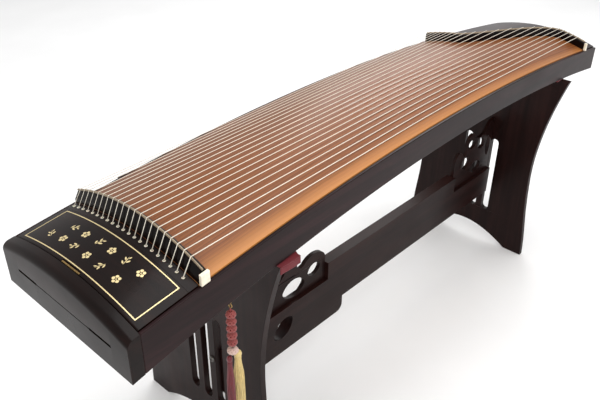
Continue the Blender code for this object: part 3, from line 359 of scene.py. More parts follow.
def tube_rings(points, radius, sides):
    """Rings round a line of points; radius is one number or one for each point."""
    points = [Vector(p) for p in points]
    radii = radius if hasattr(radius, "__len__") else [radius] * len(points)
    normal = None
    rings = []
    for k, point in enumerate(points):
        ahead = points[min(k + 1, len(points) - 1)] - points[max(k - 1, 0)]
        along = ahead.normalized()
        if normal is None:
            normal = along.orthogonal().normalized()
        normal = (normal - along * normal.dot(along)).normalized()
        other = along.cross(normal)
        ring = [normal * math.cos(a) + other * math.sin(a) for a in circle(sides)]
        rings.append([point + radii[k] * spoke for spoke in ring])
    return rings


def tube_parts(lines, radius, sides, closed=False):
    """Vertices and faces of several tubes, ready to be one mesh."""
    verts, faces = [], []
    for points in lines:
        rings = tube_rings(points, radius, sides)
        base = len(verts)
        for ring in rings:
            verts.extend(ring)
        spans = len(rings) if closed else len(rings) - 1
        for k in range(spans):
            near, far = base + k * sides, base + ((k + 1) % len(rings)) * sides
            for j in range(sides):
                nxt = (j + 1) % sides
                faces.append((near + j, near + nxt, far + nxt, far + j))
        if not closed:
            faces.append(tuple(range(base, base + sides)))
            faces.append(tuple(range(len(verts) - sides, len(verts))))
    return verts, faces


def turned(name, profile, sides, place, finish):
    """An upright turned piece from (radius, height) points with closed ends."""
    rings = []
    for radius, height in profile:
        ring = []
        for angle in circle(sides):
            ring.append(Vector(place) + Vector((radius * math.cos(angle), radius * math.sin(angle), height)))
        rings.append(ring)
    return loft(name, rings, finish)


def flat_shape(name, loops, thickness, turn, finish):
    """A flat outline with holes, filled and given a thickness, turned by a matrix."""
    curve = bpy.data.curves.new(name, "CURVE")
    curve.dimensions = "2D"
    curve.fill_mode = "BOTH"
    curve.extrude = thickness / 2
    for loop in loops:
        spline = curve.splines.new("POLY")
        spline.points.add(len(loop) - 1)
        for point, (a, b) in zip(spline.points, loop):
            point.co = (a, b, 0, 1)
        spline.use_cyclic_u = True
    curve.materials.append(finish)
    obj = bpy.data.objects.new(name, curve)
    bpy.context.scene.collection.objects.link(obj)
    obj.matrix_world = turn
    return baked(obj)


def arc(centre, radius, start, end, steps):
    points = []
    for k in range(steps + 1):
        angle = math.radians(start + (end - start) * k / steps)
        points.append((centre[0] + radius * math.cos(angle), centre[1] + radius * math.sin(angle)))
    return points


def settle(obj, body, slot, *nodes):
    """Finishes a piece: the body it rides on, its slot, which is not used, and the frame's nodes it stands
    for.
    """
    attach(obj, body)
    if nodes:
        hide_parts(*nodes)
    return obj


# Material helpers

class Finish:
    """Builds one node material on the Principled shader."""

    def __init__(self, name, **constants):
        self.material = bpy.data.materials.new(name)
        self.material.use_nodes = True
        self.tree = self.material.node_tree
        self.shader = self.tree.nodes["Principled BSDF"]
        for key, value in constants.items():
            self.shader.inputs[key.replace("_", " ")].default_value = value

    def node(self, kind, inputs=None, **settings):
        made = self.tree.nodes.new(kind)
        for key, value in settings.items():
            setattr(made, key, value)
        for key, value in (inputs or {}).items():
            self.feed(made.inputs[key], value)
        return made

    def feed(self, socket, value):
        if isinstance(value, bpy.types.NodeSocket):
            self.tree.links.new(value, socket)
        else:
            socket.default_value = value

    def place(self, scale=(1, 1, 1), offset=(0, 0, 0)):
        """Object coordinates, stretched so that the pattern follows the piece."""
        coordinate = self.node("ShaderNodeTexCoord")
        mapping = self.node("ShaderNodeMapping", {"Vector": coordinate.outputs["Object"], "Scale": scale,
                                                  "Location": offset})
        return mapping.outputs["Vector"]

    def noise(self, vector, scale, detail=4, rough=0.55, distortion=0.0):
        return self.node("ShaderNodeTexNoise", {"Vector": vector, "Scale": scale, "Detail": detail,
                                                "Roughness": rough, "Distortion": distortion}).outputs["Fac"]

    def waves(self, vector, scale, distortion=0.0, detail=2, detail_scale=1.0, direction="Y", profile="SIN"):
        return self.node("ShaderNodeTexWave", {"Vector": vector, "Scale": scale, "Distortion": distortion,
                                               "Detail": detail, "Detail Scale": detail_scale},
                         wave_type="BANDS", bands_direction=direction, wave_profile=profile).outputs["Fac"]

    def ramp(self, fac, stops):
        node = self.node("ShaderNodeValToRGB", {"Fac": fac})
        elements = node.color_ramp.elements
        while len(elements) < len(stops):
            elements.new(0.5)
        for element, (position, colour) in zip(elements, stops):
            element.position = position
            element.color = (*colour, 1) if len(colour) == 3 else colour
        return node.outputs["Color"]

    def spread(self, value, low, high, new_low, new_high):
        return self.node("ShaderNodeMapRange", {"Value": value, "From Min": low, "From Max": high,
                                                "To Min": new_low, "To Max": new_high}).outputs["Result"]

    def math(self, kind, a, b=0.5):
        node = self.node("ShaderNodeMath", operation=kind)
        self.feed(node.inputs[0], a)
        self.feed(node.inputs[1], b)
        return node.outputs["Value"]

    def mix(self, fac, a, b, blend="MIX"):
        node = self.node("ShaderNodeMix", data_type="RGBA", blend_type=blend)
        self.feed(node.inputs[0], fac)
        self.feed(node.inputs[6], (*a, 1) if isinstance(a, tuple) and len(a) == 3 else a)
        self.feed(node.inputs[7], (*b, 1) if isinstance(b, tuple) and len(b) == 3 else b)
        return node.outputs[2]

    def finish(self, colour, roughness=None, bump=None, strength=0.2, distance=0.0004):
        self.feed(self.shader.inputs["Base Color"], colour)
        if roughness is not None:
            self.feed(self.shader.inputs["Roughness"], roughness)
        if bump is not None:
            node = self.node("ShaderNodeBump", {"Height": bump, "Strength": strength, "Distance": distance})
            self.feed(self.shader.inputs["Normal"], node.outputs["Normal"])
        return self.material


def times(colour, factor):
    return tuple(min(1.0, channel * factor) for channel in colour)


FINISHES = {}


def finish_once(maker):
    """Makes each material once, the first time that a piece asks for it."""
    def ask():
        if maker.__name__ not in FINISHES:
            FINISHES[maker.__name__] = maker()
        return FINISHES[maker.__name__]
    return ask


def chosen(name):
    """A colour from the settings."""
    return tuple(getattr(bpy.context.scene.guzheng_colours, name))


@finish_once
def soundboard_finish():
    """Oiled paulownia: straight grain along the strings, wide and narrow rings, fine pores."""
    f = Finish("soundboard_wood", Coat_Weight=0.1, Coat_Roughness=0.3, IOR=1.5, Specular_IOR_Level=0.25)
    # Colours for a painted highlight along the bass edge and painted shade over the treble side
    bass_edge_highlight, treble_side_shade = (0.56, 0.235, 0.06), (0.11, 0.06, 0.038)
    light, dark = chosen("top_light"), chosen("top_dark")
    wander = f.noise(f.place((0.9, 3.0, 3.0)), 2.0, 3)
    coordinate = f.place((1, 1, 1))
    split = f.node("ShaderNodeSeparateXYZ", {"Vector": coordinate})
    across = f.math("MULTIPLY_ADD", wander, 0.022)
    f.feed(across.node.inputs[2], split.outputs["Y"])
    line = f.node("ShaderNodeCombineXYZ", {"X": split.outputs["X"], "Y": across, "Z": 0.0}).outputs["Vector"]
    rings = f.waves(line, 44.0, 0.6, 2, 1.0, "Y", "SAW")
    narrow = f.waves(line, 118.0, 0.5, 2, 1.0, "Y")
    streak = f.noise(f.place((1.3, 90.0, 1.0)), 3.0, 6, 0.65)
    pores = f.noise(f.place((14.0, 700.0, 1.0)), 2.0, 4, 0.6)
    broad = f.noise(f.place((0.8, 7.0, 1.0)), 3.0, 3)
    grain = f.math("ADD", f.math("MULTIPLY", rings, 0.42), f.math("MULTIPLY", narrow, 0.16))
    grain = f.math("ADD", grain, f.math("MULTIPLY", streak, 0.55))
    between = tuple(0.5 * (a + b) for a, b in zip(light, dark))
    base = f.ramp(grain, [(0.22, light), (0.55, times(light, 0.8)), (0.72, between), (0.95, dark)])
    base = f.mix(f.spread(broad, 0.35, 0.7, 0.0, 0.45), base, times(light, 0.62), "MIX")
    base = f.mix(f.spread(pores, 0.56, 0.7, 0.0, 0.55), base, times(dark, 0.7))
    # Painted highlight: by object Y, the bass edge turns bright orange
    base = f.mix(f.spread(split.outputs["Y"], -0.2, -0.236, 0.0, 0.75), base, bass_edge_highlight)
    # Painted shade: by object Y, the treble half turns darker and greyer
    base = f.mix(f.spread(split.outputs["Y"], -0.06, 0.12, 0.0, 0.45), base, treble_side_shade)
    rough = f.spread(streak, 0.3, 0.7, 0.34, 0.5)
    height = f.math("ADD", f.math("MULTIPLY", grain, 0.5), f.math("MULTIPLY", pores, -0.5))
    return f.finish(base, rough, height, 0.3, 0.0003)


def dark_wood(name, colour, along, coat, rough, gloss_noise=0.1, streak_gain=1.7, bump=0.14):
    """Dark close-grained wood with streaks along one axis, under lacquer."""
    f = Finish(name, Coat_Weight=coat, Coat_Roughness=0.12, IOR=1.5, Specular_IOR_Level=0.1)
    stretch = [46.0, 46.0, 46.0]
    stretch["XYZ".index(along)] = 2.2
    fine = [260.0, 260.0, 260.0]
    fine["XYZ".index(along)] = 9.0
    streak = f.noise(f.place(tuple(stretch)), 1.0, 6, 0.62, 0.4)
    pores = f.noise(f.place(tuple(fine)), 1.6, 4, 0.6)
    cloud = f.noise(f.place((2.4, 5.0, 5.0)), 2.0, 3)
    dust = f.noise(f.place((1, 1, 1)), 900.0, 2)
    base = f.ramp(streak, [(0.3, times(colour, 0.45)), (0.5, colour), (0.68, times(colour, streak_gain)),
                           (0.8, times(colour, 0.7))])
    base = f.mix(f.spread(cloud, 0.3, 0.75, 0.0, 0.5), base, times(colour, 0.55))
    base = f.mix(f.spread(pores, 0.58, 0.72, 0.0, 0.6), base, times(colour, 0.3))
    # Painted highlight: convex edges, found by pointiness, are mixed towards 3.2 times the base colour
    rim_highlight = f.node("ShaderNodeNewGeometry").outputs["Pointiness"]
    base = f.mix(f.spread(rim_highlight, 0.53, 0.62, 0.0, 0.35), base, times(colour, 3.2))
    roughness = f.math("ADD", f.spread(cloud, 0.3, 0.7, rough - gloss_noise / 2, rough + gloss_noise / 2),
                       f.spread(dust, 0.6, 0.8, 0.0, 0.08))
    height = f.math("SUBTRACT", f.math("MULTIPLY", streak, 0.4), f.math("MULTIPLY", pores, 0.6))
    return f.finish(base, roughness, height, bump, 0.0003)


@finish_once
def side_finish():
    return dark_wood("side_rosewood", chosen("side"), "X", 0.07, 0.34, streak_gain=2.1)


@finish_once
def head_finish():
    return dark_wood("head_lacquer", chosen("head"), "Y", 0.08, 0.3, streak_gain=2.0)


@finish_once
def nut_finish():
    return dark_wood("nut_ebony", times(chosen("head"), 0.45), "Y", 0.1, 0.3, streak_gain=1.5)


@finish_once
def leg_finish():
    return dark_wood("stand_wood_upright", chosen("stand"), "Z", 0.05, 0.4, 0.12)


@finish_once
def rail_finish():
    return dark_wood("stand_wood_rail", chosen("stand"), "X", 0.05, 0.4, 0.12)


@finish_once
def inner_finish():
    """Raw pale wood inside and under the body."""
    f = Finish("inner_wood", IOR=1.45)
    streak = f.noise(f.place((1.5, 60.0, 60.0)), 2.0, 5, 0.6, 0.3)
    pores = f.noise(f.place((20.0, 500.0, 500.0)), 1.5, 3)
    rings = f.waves(f.place((0.5, 1.0, 0.6)), 30.0, 2.2, 3, 0.8, "Y")
    mixed = f.math("ADD", f.math("MULTIPLY", streak, 0.6), f.math("MULTIPLY", rings, 0.35))
    base = f.ramp(mixed, [(0.2, (0.5, 0.31, 0.15)), (0.55, (0.42, 0.24, 0.11)), (0.85, (0.24, 0.12, 0.05))])
    base = f.mix(f.spread(pores, 0.55, 0.7, 0.0, 0.5), base, (0.15, 0.07, 0.03))
    return f.finish(base, f.spread(streak, 0.2, 0.8, 0.55, 0.75), pores, 0.35, 0.0003)


@finish_once
def bone_finish():
    f = Finish("polished_bone", Coat_Weight=0.3, Coat_Roughness=0.15, IOR=1.54, Subsurface_Weight=0.08,
               Subsurface_Scale=0.002)
    cloud = f.noise(f.place((1, 1, 1)), 130.0, 4)
    fleck = f.noise(f.place((900.0, 240.0, 900.0)), 1.0, 3)
    base = f.ramp(cloud, [(0.3, (0.86, 0.8, 0.66)), (0.7, (0.74, 0.66, 0.5))])
    base = f.mix(f.spread(fleck, 0.62, 0.75, 0.0, 0.5), base, (0.5, 0.4, 0.26))
    return f.finish(base, f.spread(cloud, 0.3, 0.7, 0.25, 0.4), fleck, 0.15, 0.0002)


@finish_once
def saddle_finish():
    """Buffalo horn, darkened by the strings that cross it."""
    f = Finish("saddle_horn", IOR=1.54, Specular_IOR_Level=0.3)
    cloud = f.noise(f.place((1, 1, 1)), 160.0, 4)
    streak = f.noise(f.place((700.0, 60.0, 700.0)), 1.0, 3)
    base = f.ramp(cloud, [(0.3, (0.34, 0.27, 0.18)), (0.7, (0.2, 0.15, 0.1))])
    base = f.mix(f.spread(streak, 0.55, 0.75, 0.0, 0.6), base, (0.08, 0.06, 0.045))
    return f.finish(base, f.spread(cloud, 0.3, 0.7, 0.3, 0.45), streak, 0.15, 0.0002)


@finish_once
def steel_finish():
    f = Finish("pin_steel", Metallic=1.0, Anisotropic=0.3)
    turning = f.noise(f.place((60.0, 60.0, 5200.0)), 1.0, 3)
    smudge = f.noise(f.place((1, 1, 1)), 260.0, 4)
    base = f.ramp(smudge, [(0.35, (0.62, 0.62, 0.64)), (0.65, (0.45, 0.45, 0.47)), (0.8, (0.3, 0.27, 0.24))])
    return f.finish(base, f.spread(turning, 0.3, 0.7, 0.2, 0.38), turning, 0.2, 0.0001)


@finish_once
def bolt_finish():
    f = Finish("bolt_steel", Metallic=1.0)
    pits = f.noise(f.place((1, 1, 1)), 700.0, 4)
    base = f.ramp(pits, [(0.35, (0.09, 0.085, 0.08)), (0.65, (0.18, 0.17, 0.16))])
    return f.finish(base, f.spread(pits, 0.3, 0.7, 0.3, 0.5), pits, 0.25, 0.0001)


@finish_once
def string_finish():
    """Nylon-wound steel: fine winding across the string, a little tarnish along it."""
    f = Finish("wound_string", Metallic=0.35, Coat_Weight=0.2, Coat_Roughness=0.2)
    colour = chosen("string")
    wrap = f.waves(f.place((1, 1, 1)), 950.0, 0.0, 0, 1.0, "X")
    along = f.noise(f.place((6.0, 90.0, 6.0)), 1.0, 3)
    base = f.ramp(wrap, [(0.2, times(colour, 0.62)), (0.6, colour), (1.0, times(colour, 1.1))])
    base = f.mix(f.spread(along, 0.35, 0.75, 0.0, 0.35), base, times(colour, 0.72))
    return f.finish(base, f.spread(along, 0.3, 0.7, 0.28, 0.42), wrap, 0.3, 0.0001)


@finish_once
def gold_finish():
    """Brass inlay, flush and lightly worn."""
    f = Finish("gold_inlay", Metallic=0.55, Coat_Weight=0.2, Coat_Roughness=0.2)
    colour = chosen("gold")
    cloud = f.noise(f.place((1, 1, 1)), 190.0, 5, 0.6)
    scratch = f.noise(f.place((90.0, 1400.0, 90.0)), 1.0, 3)
    base = f.ramp(cloud, [(0.3, times(colour, 1.12)), (0.55, colour), (0.78, times(colour, 0.6))])
    return f.finish(base, f.spread(scratch, 0.3, 0.7, 0.28, 0.46), scratch, 0.2, 0.0001)


@finish_once
def brass_finish():
    f = Finish("aged_brass", Metallic=1.0)
    cloud = f.noise(f.place((1, 1, 1)), 420.0, 5, 0.6)
    base = f.ramp(cloud, [(0.3, (0.42, 0.27, 0.1)), (0.6, (0.26, 0.17, 0.07)), (0.8, (0.1, 0.07, 0.04))])
    return f.finish(base, f.spread(cloud, 0.3, 0.7, 0.3, 0.5), cloud, 0.2, 0.0001)


def thread_finish(name, colour, axis_scale, gloss, sheen=0.5):
    """Silk or cotton thread: fine strands, with a painted highlight where they stand proud and painted shade
    between them.
    """
    f = Finish(name, Sheen_Weight=sheen, Sheen_Roughness=0.4)
    strand = f.noise(f.place(axis_scale), 1.0, 4, 0.6)
    cloud = f.noise(f.place((1, 1, 1)), 85.0, 3)
    # Painted highlight and shade: the strand noise that raises the bump also lightens proud strands and
    # darkens the hollows
    base = f.ramp(strand, [(0.3, times(colour, 0.5)), (0.52, colour), (0.75, times(colour, 1.5))])
    base = f.mix(f.spread(cloud, 0.4, 0.75, 0.0, 0.4), base, times(colour, 0.65))
    return f.finish(base, f.spread(strand, 0.3, 0.7, gloss, gloss + 0.2), strand, 0.4, 0.0003)


@finish_once
def felt_finish():
    return thread_finish("red_felt", chosen("red_silk"), (900.0, 900.0, 900.0), 0.8, 0.3)


@finish_once
def cord_finish():
    return thread_finish("red_cord", (0.26, 0.03, 0.03), (2600.0, 2600.0, 700.0), 0.55, 0.2)


@finish_once
def knot_finish():
    return thread_finish("pink_knotwork", (0.26, 0.045, 0.04), (2200.0, 2200.0, 1500.0), 0.5, 0.2)


@finish_once
def pale_knot_finish():
    return thread_finish("pale_knotwork", (0.6, 0.42, 0.36), (2200.0, 2200.0, 1500.0), 0.5, 0.3)


@finish_once
def red_silk_finish():
    return thread_finish("red_silk", chosen("red_silk"), (2600.0, 2600.0, 60.0), 0.38, 0.2)


@finish_once
def gold_silk_finish():
    return thread_finish("gold_silk", (0.66, 0.5, 0.2), (2600.0, 2600.0, 60.0), 0.38, 0.2)


@finish_once
def floor_finish():
    f = Finish("studio_floor")
    cloud = f.noise(f.place((1, 1, 1)), 3.0, 3)
    base = f.ramp(cloud, [(0.3, (0.86, 0.86, 0.86)), (0.7, (0.89, 0.89, 0.89))])
    return f.finish(base, f.spread(cloud, 0.3, 0.7, 0.6, 0.7), cloud, 0.05, 0.0005)


# Stage

class GUZHENG_OT_stage(bpy.types.Operator):
    """Floor, camera and soft studio light"""
    bl_idname = "guzheng.stage"
    bl_label = "Stage"

    def execute(self, context):
        self.camera(context)
        context.scene.view_settings.view_transform = "Standard"
        mesh = bpy.data.meshes.new("studio_floor")
        size = 14.0
        mesh.from_pydata([(-size, -size, 0), (size, -size, 0), (size, size, 0), (-size, size, 0)], [],
                         [(0, 1, 2, 3)])
        floor = add_object("studio_floor", mesh, floor_finish())
        floor.location.z = -0.0005
        world = bpy.data.worlds.new("studio_air")
        world.use_nodes = True
        world.node_tree.nodes["Background"].inputs["Color"].default_value = (1.0, 1.0, 1.0, 1)
        world.node_tree.nodes["Background"].inputs["Strength"].default_value = 0.8
        context.scene.world = world
        self.light("overhead", (0.2, -0.3, 3.2), (0, 0, 0.6), 2.6, 62)
        self.light("window_side", (-2.0, -2.6, 2.2), (0, 0, 0.5), 1.8, 40)
        self.light("far_fill", (2.6, 1.8, 2.2), (0.2, 0, 0.6), 1.6, 26)
        return {"FINISHED"}

    def camera(self, context):
        data = bpy.data.cameras.new("view")
        data.lens = 42.03
        data.sensor_width = 36.0
        camera = bpy.data.objects.new("view", data)
        context.scene.collection.objects.link(camera)
        forward = Vector((0.62524602, 0.5752273, -0.52742863)).normalized()
        level = Vector((forward.y, -forward.x, 0)).normalized()
        up = level.cross(forward)
        roll = math.radians(0.5)
        right = level * math.cos(roll) + up * math.sin(roll)
        up = up * math.cos(roll) - level * math.sin(roll)
        camera.matrix_world = Matrix.Translation((-1.1884, -0.9194, 1.3258)) @ Matrix(
            (right, up, -forward)).transposed().to_4x4()
        context.scene.camera = camera

    def light(self, name, place, target, size, power):
        data = bpy.data.lights.new(name, "AREA")
        data.shape = "SQUARE"
        data.size = size
        data.energy = power
        lamp = bpy.data.objects.new(name, data)
        lamp.location = place
        lamp.rotation_euler = (Vector(target) - Vector(place)).to_track_quat("-Z", "Y").to_euler()
        bpy.context.scene.collection.objects.link(lamp)


# Ornament

def eye_centre():
    low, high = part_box("screw_eye")
    return Vector(((low.x + high.x) / 2, (low.y + high.y) / 2, low.z + EYE_RADIUS + EYE_WIRE))


def braided_ball(name, centre, radius, height, strand, turns, leads, finish):
    """A button knot: one strand that runs round and round, over and under itself."""
    points = []
    count = 60 * turns
    for k in range(count):
        t = 2 * math.pi * k / count
        lean = math.sin(leads * t)
        weave = 0.5 * strand * math.cos(2 * leads * t)
        around = turns * t
        reach = (radius - strand) * math.sqrt(max(0.12, 1 - (0.82 * lean) ** 2)) + weave
        points.append(centre + Vector((reach * math.cos(around), reach * math.sin(around),
                                       (height / 2 - strand) * lean)))
    verts, faces = tube_parts([points], strand, 6, closed=True)
    return add_mesh(name, verts, faces, finish, 80)


class GUZHENG_OT_cord(bpy.types.Operator):
    """The ornament's cord with its knots and tassels"""
    bl_idname = "guzheng.cord"
    bl_label = "Ornament"

    def execute(self, context):
        low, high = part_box("ornament_cord")
        x, y = (low.x + high.x) / 2, (low.y + high.y) / 2
        count = 16
        points = [(x, y, high.z + (low.z - high.z) * k / count) for k in range(count + 1)]
        curve = bpy.data.curves.new("hanging_cord", "CURVE")
        curve.dimensions = "3D"
        curve.bevel_depth = CORD_RADIUS
        curve.bevel_resolution = 3
        curve.use_fill_caps = True
        spline = curve.splines.new("POLY")
        spline.points.add(count)
        for target, point in zip(spline.points, points):
            target.co = (*point, 1)
        curve.materials.append(cord_finish())
        cord = bpy.data.objects.new("hanging_cord", curve)
        context.scene.collection.objects.link(cord)
        settle(cord, "ornament", "red_cord", "ornament_cord")
        pieces = self.knots(x, y)
        self.tassel("red_tassel", "tassel_red", "red_silk", red_silk_finish())
        self.tassel("gold_tassel", "tassel_gold", "gold_silk", gold_silk_finish())
        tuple(points[0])
        return {"FINISHED"}

    def knots(self, x, y):
        low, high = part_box("ornament_beads")
        step = (high.z - low.z) / BUTTONS
        pieces = []
        for k in range(BUTTONS):
            centre = Vector((x, y, high.z - (k + 0.5) * step))
            ball = braided_ball("button_knot_%d" % (k + 1), centre, 0.0084, step * 0.98, 0.00165, 5, 8,
                                knot_finish())
            settle(ball, "ornament", "pink_knotwork", *(["ornament_beads"] if k == 0 else []))
            pieces.append(ball)
        low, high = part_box("ornament_knot")
        middle = Vector((x, y, (low.z + high.z) / 2))
        knot = braided_ball("end_knot", middle, 0.0093, high.z - low.z, 0.0019, 5, 8, pale_knot_finish())
        settle(knot, "ornament", "pink_knotwork", "ornament_knot")
        pieces.append(knot)
        return pieces

    def tassel(self, name, node, slot, finish):
        low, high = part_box(node)
        x, y = (low.x + high.x) / 2, (low.y + high.y) / 2
        radius = (high.x - low.x) / 2
        top = high.z
        profile = [(radius * share, top - drop) for share, drop in (
            (0.1, 0.0), (0.42, 0.0012), (0.62, 0.004), (0.7, 0.008), (0.62, 0.0115), (0.45, 0.0135))]
        cap = turned(name + "_cap", profile, 24, (x, y, 0), finish)
        wraps = []
        for k in range(4):
            wraps.append([(x + radius * 0.52 * math.cos(a), y + radius * 0.52 * math.sin(a),
                           top - 0.0135 - 0.0013 * k) for a in circle(28)])
        verts, faces = tube_parts(wraps, 0.0008, 6, closed=True)
        neck = add_mesh(name + "_neck", verts, faces, finish, 80)
        dice = random.Random(len(name))
        threads = []
        count = bpy.context.scene.guzheng_sizes.tassel_threads
        for k in range(count):
            angle = THREAD_TURN * k
            share = math.sqrt((k + 0.5) / count)
            sway = dice.uniform(-0.35, 0.35)
            end = low.z + dice.uniform(0.0, 0.004)
            line = []
            for s in range(7):
                t = s / 6
                z = top - 0.014 + (end - top + 0.014) * t
                spread = radius * (0.44 + 0.5 * smooth_step(t * 2.4)) * (0.55 + 0.45 * share)
                bend = angle + sway * t + 0.12 * math.sin(5 * t + k)
                line.append((x + spread * math.cos(bend), y + spread * math.sin(bend), z))
            threads.append(line)
        verts, faces = tube_parts(threads, 0.00072, 5)
        skirt = add_mesh(name + "_threads", verts, faces, finish, 80)
        settle(cap, "ornament", slot, node)
        for piece in (neck, skirt):
            settle(piece, "ornament", slot)


class GUZHENG_OT_screw_eye(bpy.types.Operator):
    """The brass eye that the ornament hangs from"""
    bl_idname = "guzheng.screw_eye"
    bl_label = "Screw eye"

    def execute(self, context):
        centre = eye_centre()
        ring = [centre + EYE_RADIUS * Vector((0, math.sin(a), math.cos(a))) for a in circle(40)]
        verts, faces = tube_parts([ring], EYE_WIRE, 12, closed=True)
        loop = add_mesh("screw_eye_ring", verts, faces, brass_finish(), 80)
        profile = [(0.0009, 0.0035), (0.001, 0.0052), (0.0026, 0.0058), (0.0028, 0.0066), (0.0022, 0.0073),
                   (0.00095, 0.0074), (0.00095, 0.019), (0.0003, 0.0198)]
        shank = turned("screw_eye_shank", profile, 20, centre, brass_finish())
        settle(loop, "instrument", "dark_brass", "screw_eye")
        settle(shank, "instrument", "dark_brass")
        return {"FINISHED"}


# Body of the instrument

class GUZHENG_OT_soundboard(bpy.types.Operator):
    """The arched paulownia top"""
    bl_idname = "guzheng.soundboard"
    bl_label = "Soundboard"

    def execute(self, context):
        start = NUT_X - NUT_THICKNESS / 2 - SOUNDBOARD_LIP

        def place(u, v, w):
            share = 2 * v - 1
            x = start + u * (rear_nut_x(share) - GAP - start)
            y = inner_y(x, share)
            return x, y, surface(x, y) - (1 - w) * BOARD

        top = board("soundboard_top", (72, 60), place, soundboard_finish())
        round_edges(top, 0.0006, 2)
        settle(top, "instrument", "soundboard_wood", "soundboard")
        return {"FINISHED"}


class GUZHENG_OT_tail_board(bpy.types.Operator):
    """The dark board behind the rear nut, with its string holes"""
    bl_idname = "guzheng.tail_board"
    bl_label = "Tail board"

    def execute(self, context):
        def place(u, v, w):
            share = 2 * v - 1
            start = rear_nut_x(share) + GAP
            x = start + u * (LENGTH / 2 - start)
            y = inner_y(x, share)
            return x, y, surface(x, y) - (1 - w) * BOARD

        tail = board("tail_board_top", (24, 60), place, side_finish())
        spots = []
        for number in range(1, STRINGS + 1):
            x = tail_hole_x(rear_share(number))
            spots.append((x, string_y(number, x)))
        tail = cut(tail, drill("tail_drill", spots))
        round_edges(tail, 0.0006, 2)
        settle(tail, "instrument", "side_wood", "tail_board")
        settle(eyelets("tail_eyelets", spots), "instrument", "bone")
        return {"FINISHED"}


def drill(name, spots):
    """Upright cutters through the top at each (x, y)."""
    lines = [[(x, y, surface(x, y) - 0.03), (x, y, surface(x, y) + 0.02)] for x, y in spots]
    verts, faces = tube_parts(lines, HOLE_RADIUS, 16)
    return add_mesh(name, verts, faces, bone_finish())


def eyelets(name, spots):
    """Small rounded bone rings that line the string holes."""
    rings = []
    for x, y in spots:
        z = surface(x, y) + 0.0003
        rings.append([(x + EYELET_RADIUS * math.cos(a), y + EYELET_RADIUS * math.sin(a), z)
                      for a in circle(20)])
    verts, faces = tube_parts(rings, 0.0006, 8, closed=True)
    return add_mesh(name, verts, faces, bone_finish(), 80)


class GUZHENG_OT_side_boards(bpy.types.Operator):
    """The two long side boards and the boards at both ends"""
    bl_idname = "guzheng.side_boards"
    bl_label = "Side and end boards"

    def execute(self, context):
        edge = context.scene.guzheng_sizes.board_edge
        start = -LENGTH / 2 + HEAD_BLOCK + GAP
        for name, side in (("bass", -1), ("treble", 1)):
            def place(u, v, w, side=side):
                x = start + u * (LENGTH / 2 - start)
                y = CENTRE_Y + side * (half_width(x) - v * SIDE)
                return x, y, body_bottom(x) + w * (edge_top(x) - body_bottom(x))

            wall = board("side_wall_" + name, (64, 1), place, side_finish())
            round_edges(wall, edge, 3)
            settle(wall, "instrument", "side_wood", "side_board_" + name)
        self.head_end(context)
        self.tail_end()
        return {"FINISHED"}

    def head_end(self, context):
        front = -LENGTH / 2
        samples = [0.0, 0.02, 0.05, 0.09, 0.14, 0.2, 0.27, 0.35, 0.43, 0.5, 0.75, 1.0]

        def place(u, v, w):
            share = 2 * v - 1
            u = samples[round(u * (len(samples) - 1))]
            x = front + u * HEAD_BLOCK
            y = inner_y(x, share, 0)
            low = body_bottom(x)
            drop = HEAD_ROUNDING * (1 - math.sqrt(max(0.0, 1 - max(0.0, 1 - u * 2) ** 2)))
            return x, y, low + w * (surface(x, y) - drop - low)

        block = board("head_block", (len(samples) - 1, 48), place, head_finish())
        block = cut(block, self.groove(front))
        round_edges(block, context.scene.guzheng_sizes.board_edge, 3, 55)
        settle(block, "instrument", "head_wood", "head_end_block")

    def groove(self, front):
        """A fine line along the end face, with a deeper slot towards each side."""
        middle = body_bottom(front) + 0.047
        verts, faces = [], []
        cuts = ((-0.0775, 0.0775, 0.0007, 0.0012), (-0.135, -0.078, 0.0022, 0.006),
                (0.078, 0.135, 0.0022, 0.006))
        for low_y, high_y, half, depth in cuts:
            base = len(verts)
            for x in (front - 0.004, front + depth):
                for y in (CENTRE_Y + low_y, CENTRE_Y + high_y):
                    for z in (middle - half, middle + half):
                        verts.append((x, y, z))
            for face in ((0, 1, 3, 2), (4, 6, 7, 5), (0, 4, 5, 1), (2, 3, 7, 6), (0, 2, 6, 4), (1, 5, 7, 3)):
                faces.append(tuple(base + k for k in face))
        return add_mesh("end_groove", verts, faces, head_finish())

    def tail_end(self):
        low_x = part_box("tail_end_board")[0].x

        def place(u, v, w):
            share = 2 * v - 1
            x = low_x + u * (LENGTH / 2 - low_x)
            y = inner_y(x, share)
            low = body_bottom(x)
            return x, y, low + w * (surface(x, y) - BOARD - 2 * GAP - low)

        end = board("tail_end", (2, 40), place, side_finish())
        round_edges(end, 0.001, 2)
        settle(end, "instrument", "side_wood", "tail_end_board")


